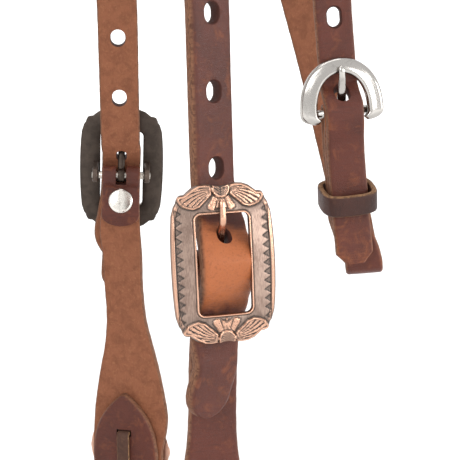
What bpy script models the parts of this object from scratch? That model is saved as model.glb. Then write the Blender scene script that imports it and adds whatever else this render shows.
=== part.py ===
"""Western headstall: crown strap, two cheeks on cart buckles, browband and throatlatch.

Metres, +Z up. +X is the wearer's near (left) side, -Y the front. The origin is the middle
of the crown strap's underside, where the strap lies over the poll.
"""
import math

import bmesh
import bpy
import numpy as np
from mathutils import Matrix, Vector

for old in list(bpy.data.objects):
    bpy.data.objects.remove(old, do_unlink=True)

# Overall sizes
DROP = 0.230            # poll to the buckle pins
HALF_SPAN = 0.0662      # middle plane to a buckle pin
SEAT = 0.0003           # gap between pieces that touch
CUT_OVER = 0.0008       # how far a cut runs past the surface it opens

# Crown strap
STRAP_W = 0.0162
STRAP_T = 0.0042
TAIL_LEN = 0.053        # strap end below the pin
HOLE_PITCH = 0.0254
HOLE_W = 0.0060
HOLE_L = 0.0070
HOLES = 6
POLL_FLAT = 0.012       # straight piece over the poll
CROWN_LEAN = 0.0010     # how far the billet stands off the frame's own line, high up

# Cart buckle
FRAME_W = 0.0352
FRAME_H = 0.0532
OPEN_W = 0.0180
OPEN_H = 0.0334
OPEN_R = 0.0019
FRAME_T = 0.0023
FRAME_FRONT = 0.0102    # frame face in front of the pin's axis, at mid-height
FRAME_SAG = 0.0016      # how far the ends lie behind the middle
BEAD_W = 0.0009
BEAD_H = 0.0003
RIM_W = 0.0017
RIM_H = 0.0007
WING_H = 0.0006
FAN_H = 0.0005
BUTTON_H = 0.0010
BUTTON_R = 0.00305
RELIEF_SINK = 0.0008    # how deep the ornament runs into the frame
LUG_T = 0.0022
LUG_R = 0.0031
LUG_GAP = 0.0007        # from the cheek leather to a lug
PIN_R = 0.0015
PIN_GAP = 0.0003
PIN_OVER = 0.0004

# Tongue
TONGUE_W = 0.0029
TONGUE_T = 0.0020
EYE_R = 0.0029
TONGUE_SLOT = 0.0044    # slot in the cheek leather

# Cheek
CHEEK_W = 0.0159
CHEEK_T = 0.0036
FOLD_T = 0.0022         # leather thinned where it wraps the pin
FOLD_END_T = 0.0018
FOLD_LEN = 0.0205       # folded end below the pin
SCREW_DROP = 0.0113     # cheek screw below the pin
SCREW_SLOPE = 0.42      # slant of the leather there
CONCHO_DROP = 0.125     # concho centre below the pin
BIT_LOOP_R = 0.0080      # loop for the bit, to the middle of its leather
BIT_NECK = 0.0150       # from the concho's edge to the loop's centre
TAB_DROP = 0.097        # point of the inner tab below the pin
CHEEK_WIDE = 0.0320
LOOP_W = 0.0220
TAB_WIDE = 0.0292

# Concho and lace
CONCHO_R = 0.0180
CONCHO_RISE = 0.0040
CONCHO_T = 0.0014
SLIT_OFF = 0.0108
SLIT_W = 0.0066
SLIT_H = 0.0030
LACE_W = 0.0054
LACE_T = 0.0018
LACE_END = 0.050        # lace ends below the concho's centre
LACE_SPREAD = 0.0036
LACE_BEND = 0.0016      # bend into a slit, to the middle of the lace

# Two-part screws
HEAD_R = 0.0050
HEAD_T = 0.0010
BARREL_R = 0.0024
BORE_R = 0.0017
SHANK_R = 0.0014
SLOT_W = 0.0011
SLOT_D = 0.0006
LEATHER_GAP = 0.0003
SCREW_FLAT = 0.0061     # leather kept straight this far round a cheek screw

# Throatlatch
THROAT_W = 0.0132
THROAT_T = 0.0030
THROAT_Y = 0.0180       # beside the crown strap at the poll
THROAT_PITCH = 0.0286
THROAT_HOLE_W = 0.0048
THROAT_HOLE_L = 0.0068
THROAT_HOLES = 5
THROAT_X = 0.0530       # buckle bar from the middle, rearward and below the poll
THROAT_BACK = 0.0495
THROAT_DROP = 0.1850
THROAT_TAIL = 0.0530    # strap end below the bar
SHOE_W = 0.0296
SHOE_RISE = 0.0190      # top of the horseshoe above its bar
SHOE_FOOT = 0.0022      # its ends below the bar
SHOE_BAND = 0.0060
SHOE_CROWN = 0.0054
SHOE_T = 0.0026
SHOE_BAR_R = 0.0015
SHOE_BAR_BACK = 0.0012  # bar's axis behind the horseshoe's back
SHOE_TONGUE_W = 0.0031
SHOE_EYE_R = 0.0029
THIN_T = 0.0016         # leather thinned where it wraps the bar
SHOE_FOLD_LEN = 0.047
SHOE_FOLD_T = 0.0024
BOTTOM_R = 0.0034       # fold at the bottom, to the middle of the leather
BOTTOM_DROP = 0.0540    # its centre below the bar
BOTTOM_REAR = 0.0042    # and rearward of it
BOTTOM_TWIST = -12.0
KEEPER_DROP = 0.0300
KEEPER_W = 0.0075
KEEPER_T = 0.0020
KEEPER_GAP = 0.0006
KEEPER_TILT = 14.0

# Browband
BROW_W = 0.0159
BROW_T = 0.0034
BROW_DROP = 0.062
BROW_DEPTH = 0.115      # forehead in front of the crown strap
BROW_GAP = 0.0005
BROW_ROOM = 0.0048      # room in the loops' round ends
BROW_SCREW = 0.0215     # screw in front of the loop

# Angles in degrees, near side then off side
SIDES = {
    "near": dict(sign=1, yaw=-4.5, tilt=8.0, roll=0.8, strap=10.0, billet=28.0, tail=16.0,
                 tail_end=24.0, cheek=4.0, hang=7.0, shift=-0.0025, sway=-0.002, trail=-0.0034),
    "off": dict(sign=-1, yaw=15.5, tilt=8.0, roll=2.0, strap=1.0, billet=0.0, tail=0.0,
                tail_end=0.0, cheek=0.0, hang=17.0, shift=-0.0025, sway=0.0007, trail=0.0),
}
THROAT = dict(sign=1, yaw=-9.0, tilt=5.0, roll=4.5)
SMOOTH = math.radians(32.0)
RING_TURN = math.radians(20.0)
RING_SPACE = 0.030


# Looks

def finish(name, look):
    """A plain surface for one piece: kind, colour, roughness, metallic share."""
    kind, colour, rough, metal = look
    made = bpy.data.materials.new(name + "_" + kind)
    made.use_nodes = True
    shader = made.node_tree.nodes["Principled BSDF"]
    shader.inputs["Base Color"].default_value = (*colour, 1.0)
    shader.inputs["Roughness"].default_value = rough
    shader.inputs["Metallic"].default_value = metal
    made.diffuse_color = (*colour, 1.0)
    return made


LEATHER = ("leather", (0.155, 0.060, 0.040), 0.50, 0.0)
DARK_LEATHER = ("leather", (0.085, 0.040, 0.028), 0.55, 0.0)
COPPER = ("copper", (0.55, 0.32, 0.25), 0.35, 1.0)
STEEL = ("steel", (0.55, 0.52, 0.48), 0.30, 1.0)
NICKEL = ("nickel", (0.78, 0.77, 0.74), 0.16, 1.0)


# Curves and frames

def pchip(knots, values, at):
    """A smooth run through values at knots that never swings past them."""
    knots = np.asarray(knots, float)
    values = np.asarray(values, float)
    span = np.diff(knots)
    rise = np.diff(values, axis=0) / span[:, None]
    slope = np.zeros_like(values)
    slope[0], slope[-1] = rise[0], rise[-1]
    wide = (2 * span[1:] + span[:-1])[:, None]
    narrow = (span[1:] + 2 * span[:-1])[:, None]
    same = rise[:-1] * rise[1:] > 0
    before = np.where(same, rise[:-1], 1.0)
    after = np.where(same, rise[1:], 1.0)
    mean = (wide + narrow) / (wide / before + narrow / after)
    slope[1:-1] = np.where(same, mean, 0.0)
    at = np.clip(np.asarray(at, float), knots[0], knots[-1])
    cell = np.clip(np.searchsorted(knots, at, side="right") - 1, 0, len(span) - 1)
    width = span[cell]
    share = (at - knots[cell]) / width
    share, width = share[:, None], width[:, None]
    cube, square = share ** 3, share ** 2
    return ((2 * cube - 3 * square + 1) * values[cell]
            + (cube - 2 * square + share) * width * slope[cell]
            + (3 * square - 2 * cube) * values[cell + 1]
            + (cube - square) * width * slope[cell + 1])


def spline(knots, values, at):
    """A natural cubic through values at knots, for free-hanging curves."""
    knots = np.asarray(knots, float)
    values = np.asarray(values, float)
    count = len(knots)
    span = np.diff(knots)
    rise = np.diff(values, axis=0) / span[:, None]
    system = np.eye(count)
    target = np.zeros_like(values)
    for i in range(1, count - 1):
        system[i, i - 1:i + 2] = (span[i - 1], 2 * (span[i - 1] + span[i]), span[i])
        target[i] = 3 * (rise[i] - rise[i - 1])
    bend = np.linalg.solve(system, target)
    at = np.asarray(at, float)
    cell = np.clip(np.searchsorted(knots, at, side="right") - 1, 0, len(span) - 1)
    step = (at - knots[cell])[:, None]
    width = span[cell][:, None]
    first = rise[cell] - width * (2 * bend[cell] + bend[cell + 1]) / 3
    return (values[cell] + first * step + bend[cell] * step ** 2
            + (bend[cell + 1] - bend[cell]) / (3 * width) * step ** 3)


def unit(rows):
    return rows / np.linalg.norm(rows, axis=-1, keepdims=True)


class Ribbon:
    """A leather strip along a line of knots: place, facing, width, thickness."""

    def __init__(self, knots, free=False, closed=False):
        place = np.array([k[0] for k in knots], float)
        rest = np.array([(*k[1], k[2], k[3]) for k in knots], float)
        if closed:
            place = np.vstack([place[-3:-1], place, place[1:3]])
            rest = np.vstack([rest[-3:-1], rest, rest[1:3]])
        chord = np.concatenate([[0], np.cumsum(np.linalg.norm(np.diff(place, axis=0), axis=1))])
        first, last = (chord[2], chord[-3]) if closed else (chord[0], chord[-1])
        fine = np.linspace(first, last, 1600)
        way = (spline if free else pchip)(chord, place, fine)
        rest = pchip(chord, rest, fine)
        ahead = np.gradient(way, axis=0)
        if closed:
            ahead[0] = ahead[-1] = (way[1] - way[-2]) / 2
        self.place = way
        self.ahead = unit(ahead)
        face = rest[:, :3]
        face = face - (face * self.ahead).sum(1)[:, None] * self.ahead
        self.face = unit(face)
        self.side = np.cross(self.ahead, self.face)
        self.width, self.thick = rest[:, 3], rest[:, 4]
        self.run = np.concatenate([[0], np.cumsum(np.linalg.norm(np.diff(way, axis=0), axis=1))])
        self.closed = closed

    def length(self):
        return self.run[-1]

    def near(self, point):
        """Distance along the strip at which it passes closest to a point."""
        return self.run[np.argmin(((self.place - np.asarray(point)) ** 2).sum(1))]

    def at(self, run):
        i = int(np.clip(np.searchsorted(self.run, run), 0, len(self.run) - 1))
        return self.place[i], self.ahead[i], self.face[i], self.side[i], self.width[i], self.thick[i]

    def matrix(self, run):
        """Frame on the strip: X along it, Y across it, Z out of its grain side."""
        place, ahead, face, side, _, _ = self.at(run)
        out = Matrix.Identity(4)
        for column, vector in enumerate((ahead, -side, face, place)):
            for row in range(3):
                out[row][column] = float(vector[row])
        return out

    def stations(self, tips):
        """Indices of the rings: closer where the strip bends, twists or changes width."""
        picked, turned, since = [0], 0.0, 0
        for i in range(1, len(self.run)):
            for rows in (self.ahead, self.face):
                turned += math.acos(min(1.0, float(rows[i] @ rows[i - 1]))) / 2
            gone = self.run[i] - self.run[since]
            grown = abs(self.width[i] - self.width[since]) / self.width[0]
            if (turned > RING_TURN or gone > RING_SPACE or grown > 0.09) and gone > self.thick[0] / 4:
                picked.append(i)
                turned, since = 0.0, i
        if self.run[-1] - self.run[picked[-1]] < self.thick[0] / 4 and len(picked) > 1:
            picked.pop()
        picked.append(len(self.run) - 1)
        for length, from_end in tips:
            share_steps = [0.04, 0.16, 0.36, 0.64, 1.0]
            for share in share_steps:
                run = self.run[-1] - share * length if from_end else share * length
                picked.append(int(np.searchsorted(self.run, run)))
        return sorted(set(picked))

    def build(self, name, look, tips=(), marks=()):
        """The closed solid, with rounded edges, rounded tips as (length, at the end), and rings
        at the marked distances."""
        rings = self.stations(tips)
        if marks:
            at = [int(np.argmin(np.abs(self.run - m))) for m in marks]
            near = self.run[-1] / len(self.run) * 6
            rings = [i for i in rings if min(abs(self.run[i] - self.run[m]) for m in at) > near]
            rings = sorted(set(rings) | set(at))
        if self.closed:
            rings = rings[:-1]
        model = bmesh.new()
        rows = []
        for i in rings:
            width, thick = self.width[i] / 2, self.thick[i] / 2
            for length, from_end in tips:
                left = (self.run[-1] - self.run[i]) if from_end else self.run[i]
                if left < length:
                    share = 1 - left / length
                    width *= max(math.sqrt(1 - share ** 2), 0.22)
            edge = thick * 0.55
            inner = max(width - edge, width * 0.5)
            outline = ((width, -thick + edge), (width, thick - edge), (inner, thick), (-inner, thick),
                       (-width, thick - edge), (-width, -thick + edge), (-inner, -thick),
                       (inner, -thick))
            rows.append([model.verts.new(Vector(self.place[i] + a * self.side[i] + b * self.face[i]))
                         for a, b in outline])
        pairs = list(zip(rows, rows[1:]))
        if self.closed:
            pairs.append((rows[-1], rows[0]))
        for one, two in pairs:
            for j in range(len(one)):
                k = (j + 1) % len(one)
                model.faces.new((one[j], one[k], two[k], two[j]))
        if not self.closed:
            model.faces.new(rows[0])
            model.faces.new(list(reversed(rows[-1])))
        bmesh.ops.recalc_face_normals(model, faces=model.faces)
        return solid(name, model, look)


def solid(name, model, look=None, matrix=None):
    """Turns a bmesh into an object, shaded smooth with its edges kept."""
    bmesh.ops.triangulate(model, faces=model.faces)
    mesh = bpy.data.meshes.new(name)
    model.to_mesh(mesh)
    model.free()
    mesh.shade_smooth()
    mesh.set_sharp_from_angle(angle=SMOOTH)
    made = bpy.data.objects.new(name, mesh)
    if look:
        mesh.materials.append(finish(name, look))
    bpy.context.scene.collection.objects.link(made)
    if matrix is not None:
        made.matrix_world = matrix
    return made


def tool(name, model, matrix=None):
    """A piece that only shapes another: hidden, drawn as wire, with crisp edges."""
    made = solid(name, model, None, matrix)
    made.data.shade_flat()
    made.hide_render = True
    made.display_type = "WIRE"
    made.hide_set(True)
    return made


def shape_with(piece, cutter, kind="DIFFERENCE"):
    modifier = piece.modifiers.new(cutter.name, "BOOLEAN")
    modifier.operation = kind
    modifier.solver = "EXACT"
    modifier.object = cutter


def prism(model, outline, low, high, matrix=None):
    """Adds a closed prism over a flat outline; low and high may be functions of a point."""
    matrix = matrix or Matrix.Identity(4)
    floor = [model.verts.new(matrix @ Vector((x, y, low(x, y) if callable(low) else low)))
             for x, y in outline]
    roof = [model.verts.new(matrix @ Vector((x, y, high(x, y) if callable(high) else high)))
            for x, y in outline]
    faces = [model.faces.new(list(reversed(floor))), model.faces.new(roof)]
    for i in range(len(outline)):
        k = (i + 1) % len(outline)
        faces.append(model.faces.new((floor[i], floor[k], roof[k], roof[i])))
    bmesh.ops.recalc_face_normals(model, faces=faces)


def oval(length, width, count=12):
    """Slot outline: two half circles joined by straight sides."""
    radius = min(length, width) / 2
    over_x, over_y = length / 2 - radius, width / 2 - radius
    out = []
    for i in range(count):
        turn = 2 * math.pi * (i + 0.5) / count
        c, s = math.cos(turn), math.sin(turn)
        out.append((radius * c + math.copysign(over_x, c), radius * s + math.copysign(over_y, s)))
    return out


def lathe(model, profile, count, matrix=None):
    """Adds a closed turned body; the profile of (radius, height) runs from axis to axis."""
    matrix = matrix or Matrix.Identity(4)
    rows = []
    for radius, height in profile:
        if radius == 0:
            rows.append([model.verts.new(matrix @ Vector((0, 0, height)))])
        else:
            rows.append([model.verts.new(matrix @ Vector((
                radius * math.cos(2 * math.pi * i / count),
                radius * math.sin(2 * math.pi * i / count), height))) for i in range(count)])
    faces = []
    for one, two in zip(rows, rows[1:]):
        for i in range(count):
            k = (i + 1) % count
            ring = [one[i % len(one)], one[k % len(one)], two[k % len(two)], two[i % len(two)]]
            kept = list(dict.fromkeys(ring))
            faces.append(model.faces.new(kept))
    bmesh.ops.recalc_face_normals(model, faces=faces)


AXLE = Matrix(((0, 0, 1), (1, 0, 0), (0, 1, 0))).to_4x4()    # turns a prism's Z along X


def circle(radius, step=30):
    return [(radius * math.cos(math.radians(a)), radius * math.sin(math.radians(a)))
            for a in range(0, 360, step)]


# Where each side hangs

class Side:
    """One side of the head: the buckle's own frame, X across, Y up, Z outward."""

    def __init__(self, name, sign, yaw, tilt, roll, origin, shift=0, sway=0, trail=0, **turn):
        self.name, self.sign, self.yaw = name, sign, yaw
        self.shift, self.sway, self.trail, self.turn = shift, sway, trail, turn
        a, t, r = (math.radians(v) for v in (yaw, tilt, roll))
        self.out = Vector((sign * math.cos(a) * math.cos(t), math.sin(a) * math.cos(t),
                           math.sin(t)))
        up = (Vector((0, 0, 1)) - self.out * self.out.z).normalized()
        across = up.cross(self.out)
        self.across = across * math.cos(r) + up * math.sin(r)
        self.up = up * math.cos(r) - across * math.sin(r)
        self.origin = Vector(origin)
        self.upright = sign * math.tan(r)
        self.matrix = Matrix.Translation(self.origin) @ Matrix(
            (self.across, self.up, self.out)).transposed().to_4x4()

    def world(self, rear, up, out):
        """A place beside the pin: rearward, up and outward, in the buckle's frame."""
        return self.matrix @ Vector((self.sign * rear, up, out))

    def facing(self, degrees):
        """The frame's outward direction turned rearward."""
        a = math.radians(degrees)
        return self.out * math.cos(a) + self.across * (self.sign * math.sin(a))

    def level(self, degrees):
        """An outward direction without tilt, turned rearward from straight out."""
        a = math.radians(degrees)
        return Vector((self.sign * math.cos(a), math.sin(a), 0))


def frame_front(height):
    """Face of the buckle frame over its pin's plane, arched from end to end."""
    return FRAME_FRONT - FRAME_SAG * (height / (FRAME_H / 2)) ** 2


def frame_back(height):
    return frame_front(height) - FRAME_T


BAR_V = (OPEN_H + FRAME_H) / 4      # middle of the top and bottom bars
BUTTON_V = FRAME_H / 2 * 0.965 - BUTTON_R / 5
FOLD_OUT = PIN_R + PIN_GAP + FOLD_T  # outside of the leather round the pin


def lean(degrees, width=STRAP_W):
    """How much deeper a turned strap's edge lies than its middle."""
    return abs(math.sin(math.radians(degrees))) * width / 2


def over_pin(side):
    """Middle of the strap where it crosses the pin."""
    return FOLD_OUT + 3 * SEAT + lean(side.turn["strap"]) + STRAP_T / 2


def behind_bar(degrees):
    """Middle of the strap where it passes behind a bar."""
    return frame_back(FRAME_H / 2) - SEAT - lean(degrees) - STRAP_T / 2


# Cart buckle

# Quarter outline of the frame and of its raised leaves, as shares of half its width and height
OUTLINE_SHARES = ((1.0, 0.0), (0.997, 0.17), (0.99, 0.33), (0.975, 0.49), (0.955, 0.63),
                  (0.90, 0.745), (0.86, 0.785), (0.84, 0.83), (0.80, 0.873), (0.745, 0.885),
                  (0.69, 0.885), (0.64, 0.915), (0.545, 0.963), (0.43, 0.992), (0.30, 1.0),
                  (0.19, 0.99), (0.09, 0.972), (0.0, 0.965))
WING_SHARES = ((0.175, 0.985), (0.285, 0.997), (0.415, 0.99), (0.55, 0.945), (0.645, 0.90),
               (0.70, 0.875), (0.76, 0.872), (0.825, 0.865), (0.835, 0.825), (0.79, 0.775),
               (0.735, 0.735), (0.64, 0.71), (0.53, 0.695), (0.415, 0.72), (0.325, 0.775),
               (0.23, 0.83), (0.165, 0.875))
FAN_SHARES = ((0.0, 0.705), (0.085, 0.70), (0.12, 0.675), (0.20, 0.675), (0.265, 0.705),
              (0.255, 0.745), (0.205, 0.79), (0.15, 0.855), (0.0, 0.86))


def quarter(shares):
    return [(a * FRAME_W / 2, b * FRAME_H / 2) for a, b in shares]


def mirrored(points):
    """The other half of an outline across its middle line, in the same direction round."""
    return [(-x, y) for x, y in reversed(points) if x > 0]


def frame_outline():
    right_top = quarter(OUTLINE_SHARES)
    top = right_top + mirrored(right_top)
    return top[:-1] + [(x, -y) for x, y in reversed(top)][:-1]


def resample(points, directions):
    """Radius of a star-shaped outline along each direction from the centre."""
    found = []
    for turn in directions:
        d = Vector((math.cos(turn), math.sin(turn)))
        best = None
        for i in range(len(points)):
            a, b = Vector(points[i]), Vector(points[(i + 1) % len(points)])
            e = b - a
            cross = d.x * e.y - d.y * e.x
            if abs(cross) > 0:
                way = (a.x * e.y - a.y * e.x) / cross
                share = (a.x * d.y - a.y * d.x) / cross
                if -1e-9 <= share <= 1 + 1e-9 and way > 0:
                    best = way if best is None else max(best, way)
        found.append(best)
    return found


def opening_outline(grow):
    """Rounded rectangle of the opening, grown by a margin."""
    points = []
    half_w, half_h, radius = OPEN_W / 2 + grow, OPEN_H / 2 + grow, OPEN_R + grow
    for cx, cy, start in ((1, 1, 0), (-1, 1, 90), (-1, -1, 180), (1, -1, 270)):
        for i in range(4):
            turn = math.radians(start + 90 * i / 3)
            points.append((cx * (half_w - radius) + radius * math.cos(turn),
                           cy * (half_h - radius) + radius * math.sin(turn)))
    return points


def frame_directions():
    """Directions of the frame's sections: through every corner of both outlines."""
    turns = [math.atan2(y, x) for x, y in frame_outline()]
    turns += [math.atan2(y, x) for x, y in opening_outline(0)]
    turns = sorted(turn % (2 * math.pi) for turn in turns)
    kept = []
    for turn in turns:
        if not kept or turn - kept[-1] > math.radians(4.8):
            kept.append(turn)
    return kept


def buckle_frame(side, look):
    """The arched frame with its bead, rolled rim, raised leaves and pin lugs."""
    turns = frame_directions()
    outer = resample(frame_outline(), turns)
    inner = resample(opening_outline(0), turns)
    back = -FRAME_T
    section = ((0, 0, back), (0, 0, BEAD_H), (BEAD_W * 2 / 3, 0, BEAD_H),
               (BEAD_W, 0, 0), (0, RIM_W, 0), (0, RIM_W * 4 / 5, -RIM_H / 2),
               (0, RIM_W * 3 / 5, -RIM_H / 6), (0, 0, -RIM_H), (0, RIM_W / 3, back))
    model = bmesh.new()
    rows = []
    for turn, far, near in zip(turns, outer, inner):
        c, s = math.cos(turn), math.sin(turn)
        row = []
        for step, (from_near, from_far, height) in enumerate(section):
            radius = near + from_near if step < 4 else far - from_far
            x, y = radius * c, radius * s
            row.append(model.verts.new((x, y, frame_front(y) + height)))
        rows.append(row)
    for one, two in zip(rows, rows[1:] + rows[:1]):
        for j in range(len(one)):
            k = (j + 1) % len(one)
            model.faces.new((one[j], one[k], two[k], two[j]))
    bmesh.ops.recalc_face_normals(model, faces=model.faces)
    frame = solid(side.name + "_buckle_frame", model, look, side.matrix)

    relief = bmesh.new()
    wing, half_fan = quarter(WING_SHARES), quarter(FAN_SHARES)
    fan = half_fan + mirrored(half_fan)
    button = []
    for i in range(15):
        turn = math.radians(180 + 180 * i / 14)
        button.append((BUTTON_R * math.cos(turn), BUTTON_V + BUTTON_R * math.sin(turn)))
    ornament = bmesh.new()
    sink = -RELIEF_SINK
    for flip in (1, -1):
        for mirror in (1, -1):
            prism(ornament, [(x * mirror, y * flip) for x, y in wing],
                  lambda x, y: frame_front(y) + sink, lambda x, y: frame_front(y) + WING_H)
        prism(relief, [(x, y * flip) for x, y in fan],
              lambda x, y: frame_front(y) + sink, lambda x, y: frame_front(y) + FAN_H)
    leaves = tool(side.name + "_leaves", ornament, side.matrix)
    shape_with(frame, leaves, "UNION")
    fans = tool(side.name + "_fans", relief, side.matrix)
    shape_with(frame, fans, "UNION")
    knobs = bmesh.new()
    for flip in (1, -1):
        prism(knobs, [(x, y * flip) for x, y in button],
              lambda x, y: frame_front(y) - 1.5 * RELIEF_SINK,
              lambda x, y: frame_front(y) + BUTTON_H)
    buttons = tool(side.name + "_buttons", knobs, side.matrix)
    shape_with(frame, buttons, "UNION")

    lugs = bmesh.new()
    lug_in = max(OPEN_W, CHEEK_W) / 2 + LUG_GAP
    for hand in (1, -1):
        outline = [(LUG_R, frame_back(LUG_R) + FRAME_T / 2), (-LUG_R, frame_back(LUG_R) + FRAME_T / 2)]
        for i in range(9):
            turn = math.radians(180 + 180 * i / 8)
            outline.append((LUG_R * math.cos(turn), LUG_R * math.sin(turn)))
        low, high = sorted((hand * lug_in, hand * (lug_in + LUG_T)))
        turned = AXLE
        prism(lugs, outline, low, high, turned)
    lugs_tool = tool(side.name + "_lugs", lugs, side.matrix)
    shape_with(frame, lugs_tool, "UNION")
    bore = bmesh.new()
    reach = lug_in + LUG_T + CUT_OVER
    turned = AXLE
    prism(bore, [((PIN_R + PIN_GAP) * math.cos(math.radians(a)),
                  (PIN_R + PIN_GAP) * math.sin(math.radians(a))) for a in range(0, 360, 30)],
          -reach, reach, turned)
    shape_with(frame, tool(side.name + "_pin_bore", bore, side.matrix))
    return frame


def buckle_pin(side, look):
    """The centre pin, through both lugs."""
    model = bmesh.new()
    reach = max(OPEN_W, CHEEK_W) / 2 + LUG_GAP + LUG_T + PIN_OVER
    turned = AXLE
    lathe(model, ((0, -reach), (PIN_R * 0.8, -reach), (PIN_R, -reach + PIN_OVER),
                  (PIN_R, reach - PIN_OVER), (PIN_R * 0.8, reach), (0, reach)), 12, turned)
    return solid(side.name + "_buckle_pin", model, look, side.matrix)


def tongue_points():
    """The tongue's middle line above the pin's plane: straight up to the bar, then along it."""
    over = BEAD_H + SEAT + TONGUE_T / 2
    inside = OPEN_H / 2 - TONGUE_T / 2
    tip = BUTTON_V - BUTTON_R - SEAT
    return ((inside, frame_front(inside) + over),
            ((inside + tip) / 2, frame_front((inside + tip) / 2) + FAN_H - BEAD_H + over),
            (tip, frame_front(tip) + FAN_H - BEAD_H + over))


def tongue_angle():
    up, out = tongue_points()[0]
    return math.atan2(out, up)


def tongue(name, matrix, pin_r, eye_r, wide, thick, points, look):
    """Eye round a pin along X at the frame's origin, and a tapered shaft through (up, out)
    points that bends over the bar."""
    model = bmesh.new()
    prism(model, circle(eye_r, 24), -wide / 2, wide / 2, AXLE)
    body = solid(name, model, look, matrix)
    start = (pin_r + PIN_GAP + eye_r) / 2
    angle = math.atan2(points[0][1], points[0][0])
    line = [(start * math.cos(angle), start * math.sin(angle))] + list(points)
    line.insert(1, tuple((a * 0.4 + b * 0.6) for a, b in zip(line[0], line[1])))
    face = matrix.to_3x3() @ Vector((0, -math.sin(angle / 2), math.cos(angle / 2)))
    knots = [(matrix @ Vector((0, up, out)), face, wide * a, thick * b) for (up, out), a, b
             in zip(line, (0.9, 1.0, 1.0, 0.95, 0.6), (1.0, 1.0, 1.0, 0.95, 0.6))]
    shaft = Ribbon(knots).build(name + "_shaft", None)
    shaft.hide_render = True
    shaft.display_type = "WIRE"
    shaft.hide_set(True)
    shape_with(body, shaft, "UNION")
    bore = bmesh.new()
    prism(bore, circle(pin_r + PIN_GAP), -wide, wide, AXLE)
    shape_with(body, tool(name + "_bore", bore, matrix))
    return body


def buckle_tongue(side, look):
    return tongue(side.name + "_buckle_tongue", side.matrix, PIN_R, EYE_R, TONGUE_W, TONGUE_T,
                  tongue_points(), look)


# Straps at the side

def strap_out(side, up):
    """Middle of the crown strap in front of the pin's plane: over the pin, behind both bars."""
    top = over_pin(side)
    low = behind_bar(side.turn["billet"] if up > 0 else side.turn["tail"])
    share = (1 - math.cos(math.pi * min(abs(up) / (OPEN_H / 2), 1.0))) / 2
    return top + (low - top) * share


def cheek_bar_out(side):
    """Middle of the cheek strap behind the bottom bar, behind the strap's end."""
    between = side.turn["tail"] - side.turn["cheek"]
    return behind_bar(side.turn["tail"]) - STRAP_T / 2 - SEAT - lean(between) - FOLD_T / 2


def strap_inside(side, up):
    """Back of the crown strap's deeper edge near the pin."""
    step = STRAP_T / 8
    slope = (strap_out(side, up + step) - strap_out(side, up - step)) / (2 * step)
    return strap_out(side, up) - STRAP_T / 2 * math.hypot(1, slope) - lean(side.turn["strap"])


def cheek_screw_out(side):
    """Middle of the cheek strap at its screw: the screw's head stays clear of the strap."""
    between = side.turn["strap"] - side.turn["cheek"] / 2
    stack = STRAP_T / 2 + 2 * SEAT + HEAD_T + FOLD_T / 2
    return (strap_out(side, -SCREW_DROP) - stack * math.hypot(1, SCREW_SLOPE)
            - lean(between, 2 * HEAD_R) - SEAT)


PLY_STEP = FOLD_T / 2 + LEATHER_GAP + SEAT + FOLD_END_T / 2


def fold_screw_out(side):
    return cheek_screw_out(side) - PLY_STEP * math.hypot(1, SCREW_SLOPE)


class Hang:
    """The lower cheek's own frame: it hangs straight down from the pin."""

    def __init__(self, side):
        self.side = side
        self.up = Vector((0, -side.sway / CONCHO_DROP, 1)).normalized()
        out = side.level(side.yaw + side.turn["hang"])
        self.out = (out - self.up * out.dot(self.up)).normalized()
        self.across = self.up.cross(self.out)

    def world(self, rear, drop, out):
        side = self.side
        sway = side.sway * drop / CONCHO_DROP
        base = Vector((side.sign * (HALF_SPAN - PIN_GAP), sway, -DROP - drop))
        return base + self.across * (side.sign * rear) + self.out * out

    def matrix(self, drop, out):
        """Frame on the cheek: X across, Y up, Z outward."""
        made = Matrix((self.across, self.up, self.out)).transposed().to_4x4()
        made.translation = self.world(0, drop, out)
        return made


# Poll arc beside the middle: shares of half the span and of the drop, and the facing's slope
POLL_SHARES = ((0.20, 0.008, 25), (0.33, 0.045, 48), (0.46, 0.12, 66), (0.56, 0.235, 76),
               (0.655, 0.36, 82))


def crown_side(side):
    """Knots of the crown strap from beside the poll to its end on one side."""
    knots = []
    for i, (span, drop, slope) in enumerate(POLL_SHARES):
        yaw = (side.yaw + side.turn["billet"]) * i / len(POLL_SHARES)
        lie = math.radians(slope)
        face = side.level(yaw) * math.sin(lie) + Vector((0, 0, math.cos(lie)))
        knots.append((Vector((side.sign * span * HALF_SPAN, 0, STRAP_T / 2 - drop * DROP)), face,
                      STRAP_W, STRAP_T))
    billet, strap = side.turn["billet"], side.turn["strap"]
    straight = behind_bar(billet)
    for share in (4.1, 2.8, 1.6):
        knots.append((side.world(side.upright * share * BAR_V, share * BAR_V,
                                 straight + CROWN_LEAN * (share - 1.6) / 2.5),
                      side.facing(billet), STRAP_W, STRAP_T))
    for share in (1.2, 1.0, 0.78, 0.6, 0.4, 0.2, 0, -0.2, -0.4, -0.6, -0.78, -1.0, -1.25):
        end = billet if share > 0 else side.turn["tail"]
        turn = strap + (end - strap) * min(abs(share) / 0.78, 1) ** 2
        rear = side.shift * (-share - 0.5) if share < -0.5 else 0
        if share > 0.5:
            rear = side.upright * share * BAR_V
        knots.append((side.world(rear, share * BAR_V, strap_out(side, share * BAR_V)),
                      side.facing(turn), STRAP_W, STRAP_T))
    hang = Hang(side)
    for share in (0.64, 0.82, 1.0):
        turn = side.turn["tail_end"] - side.turn["hang"]
        face = side.level(side.yaw + side.turn["tail_end"])
        off = (CHEEK_T + STRAP_T) / 2 + SEAT + lean(turn) + LEATHER_GAP
        rear = side.shift * share + side.trail * (share - 0.64) / 0.36
        knots.append((hang.world(rear, TAIL_LEN * share, off), face, STRAP_W, STRAP_T))
    return knots


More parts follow.
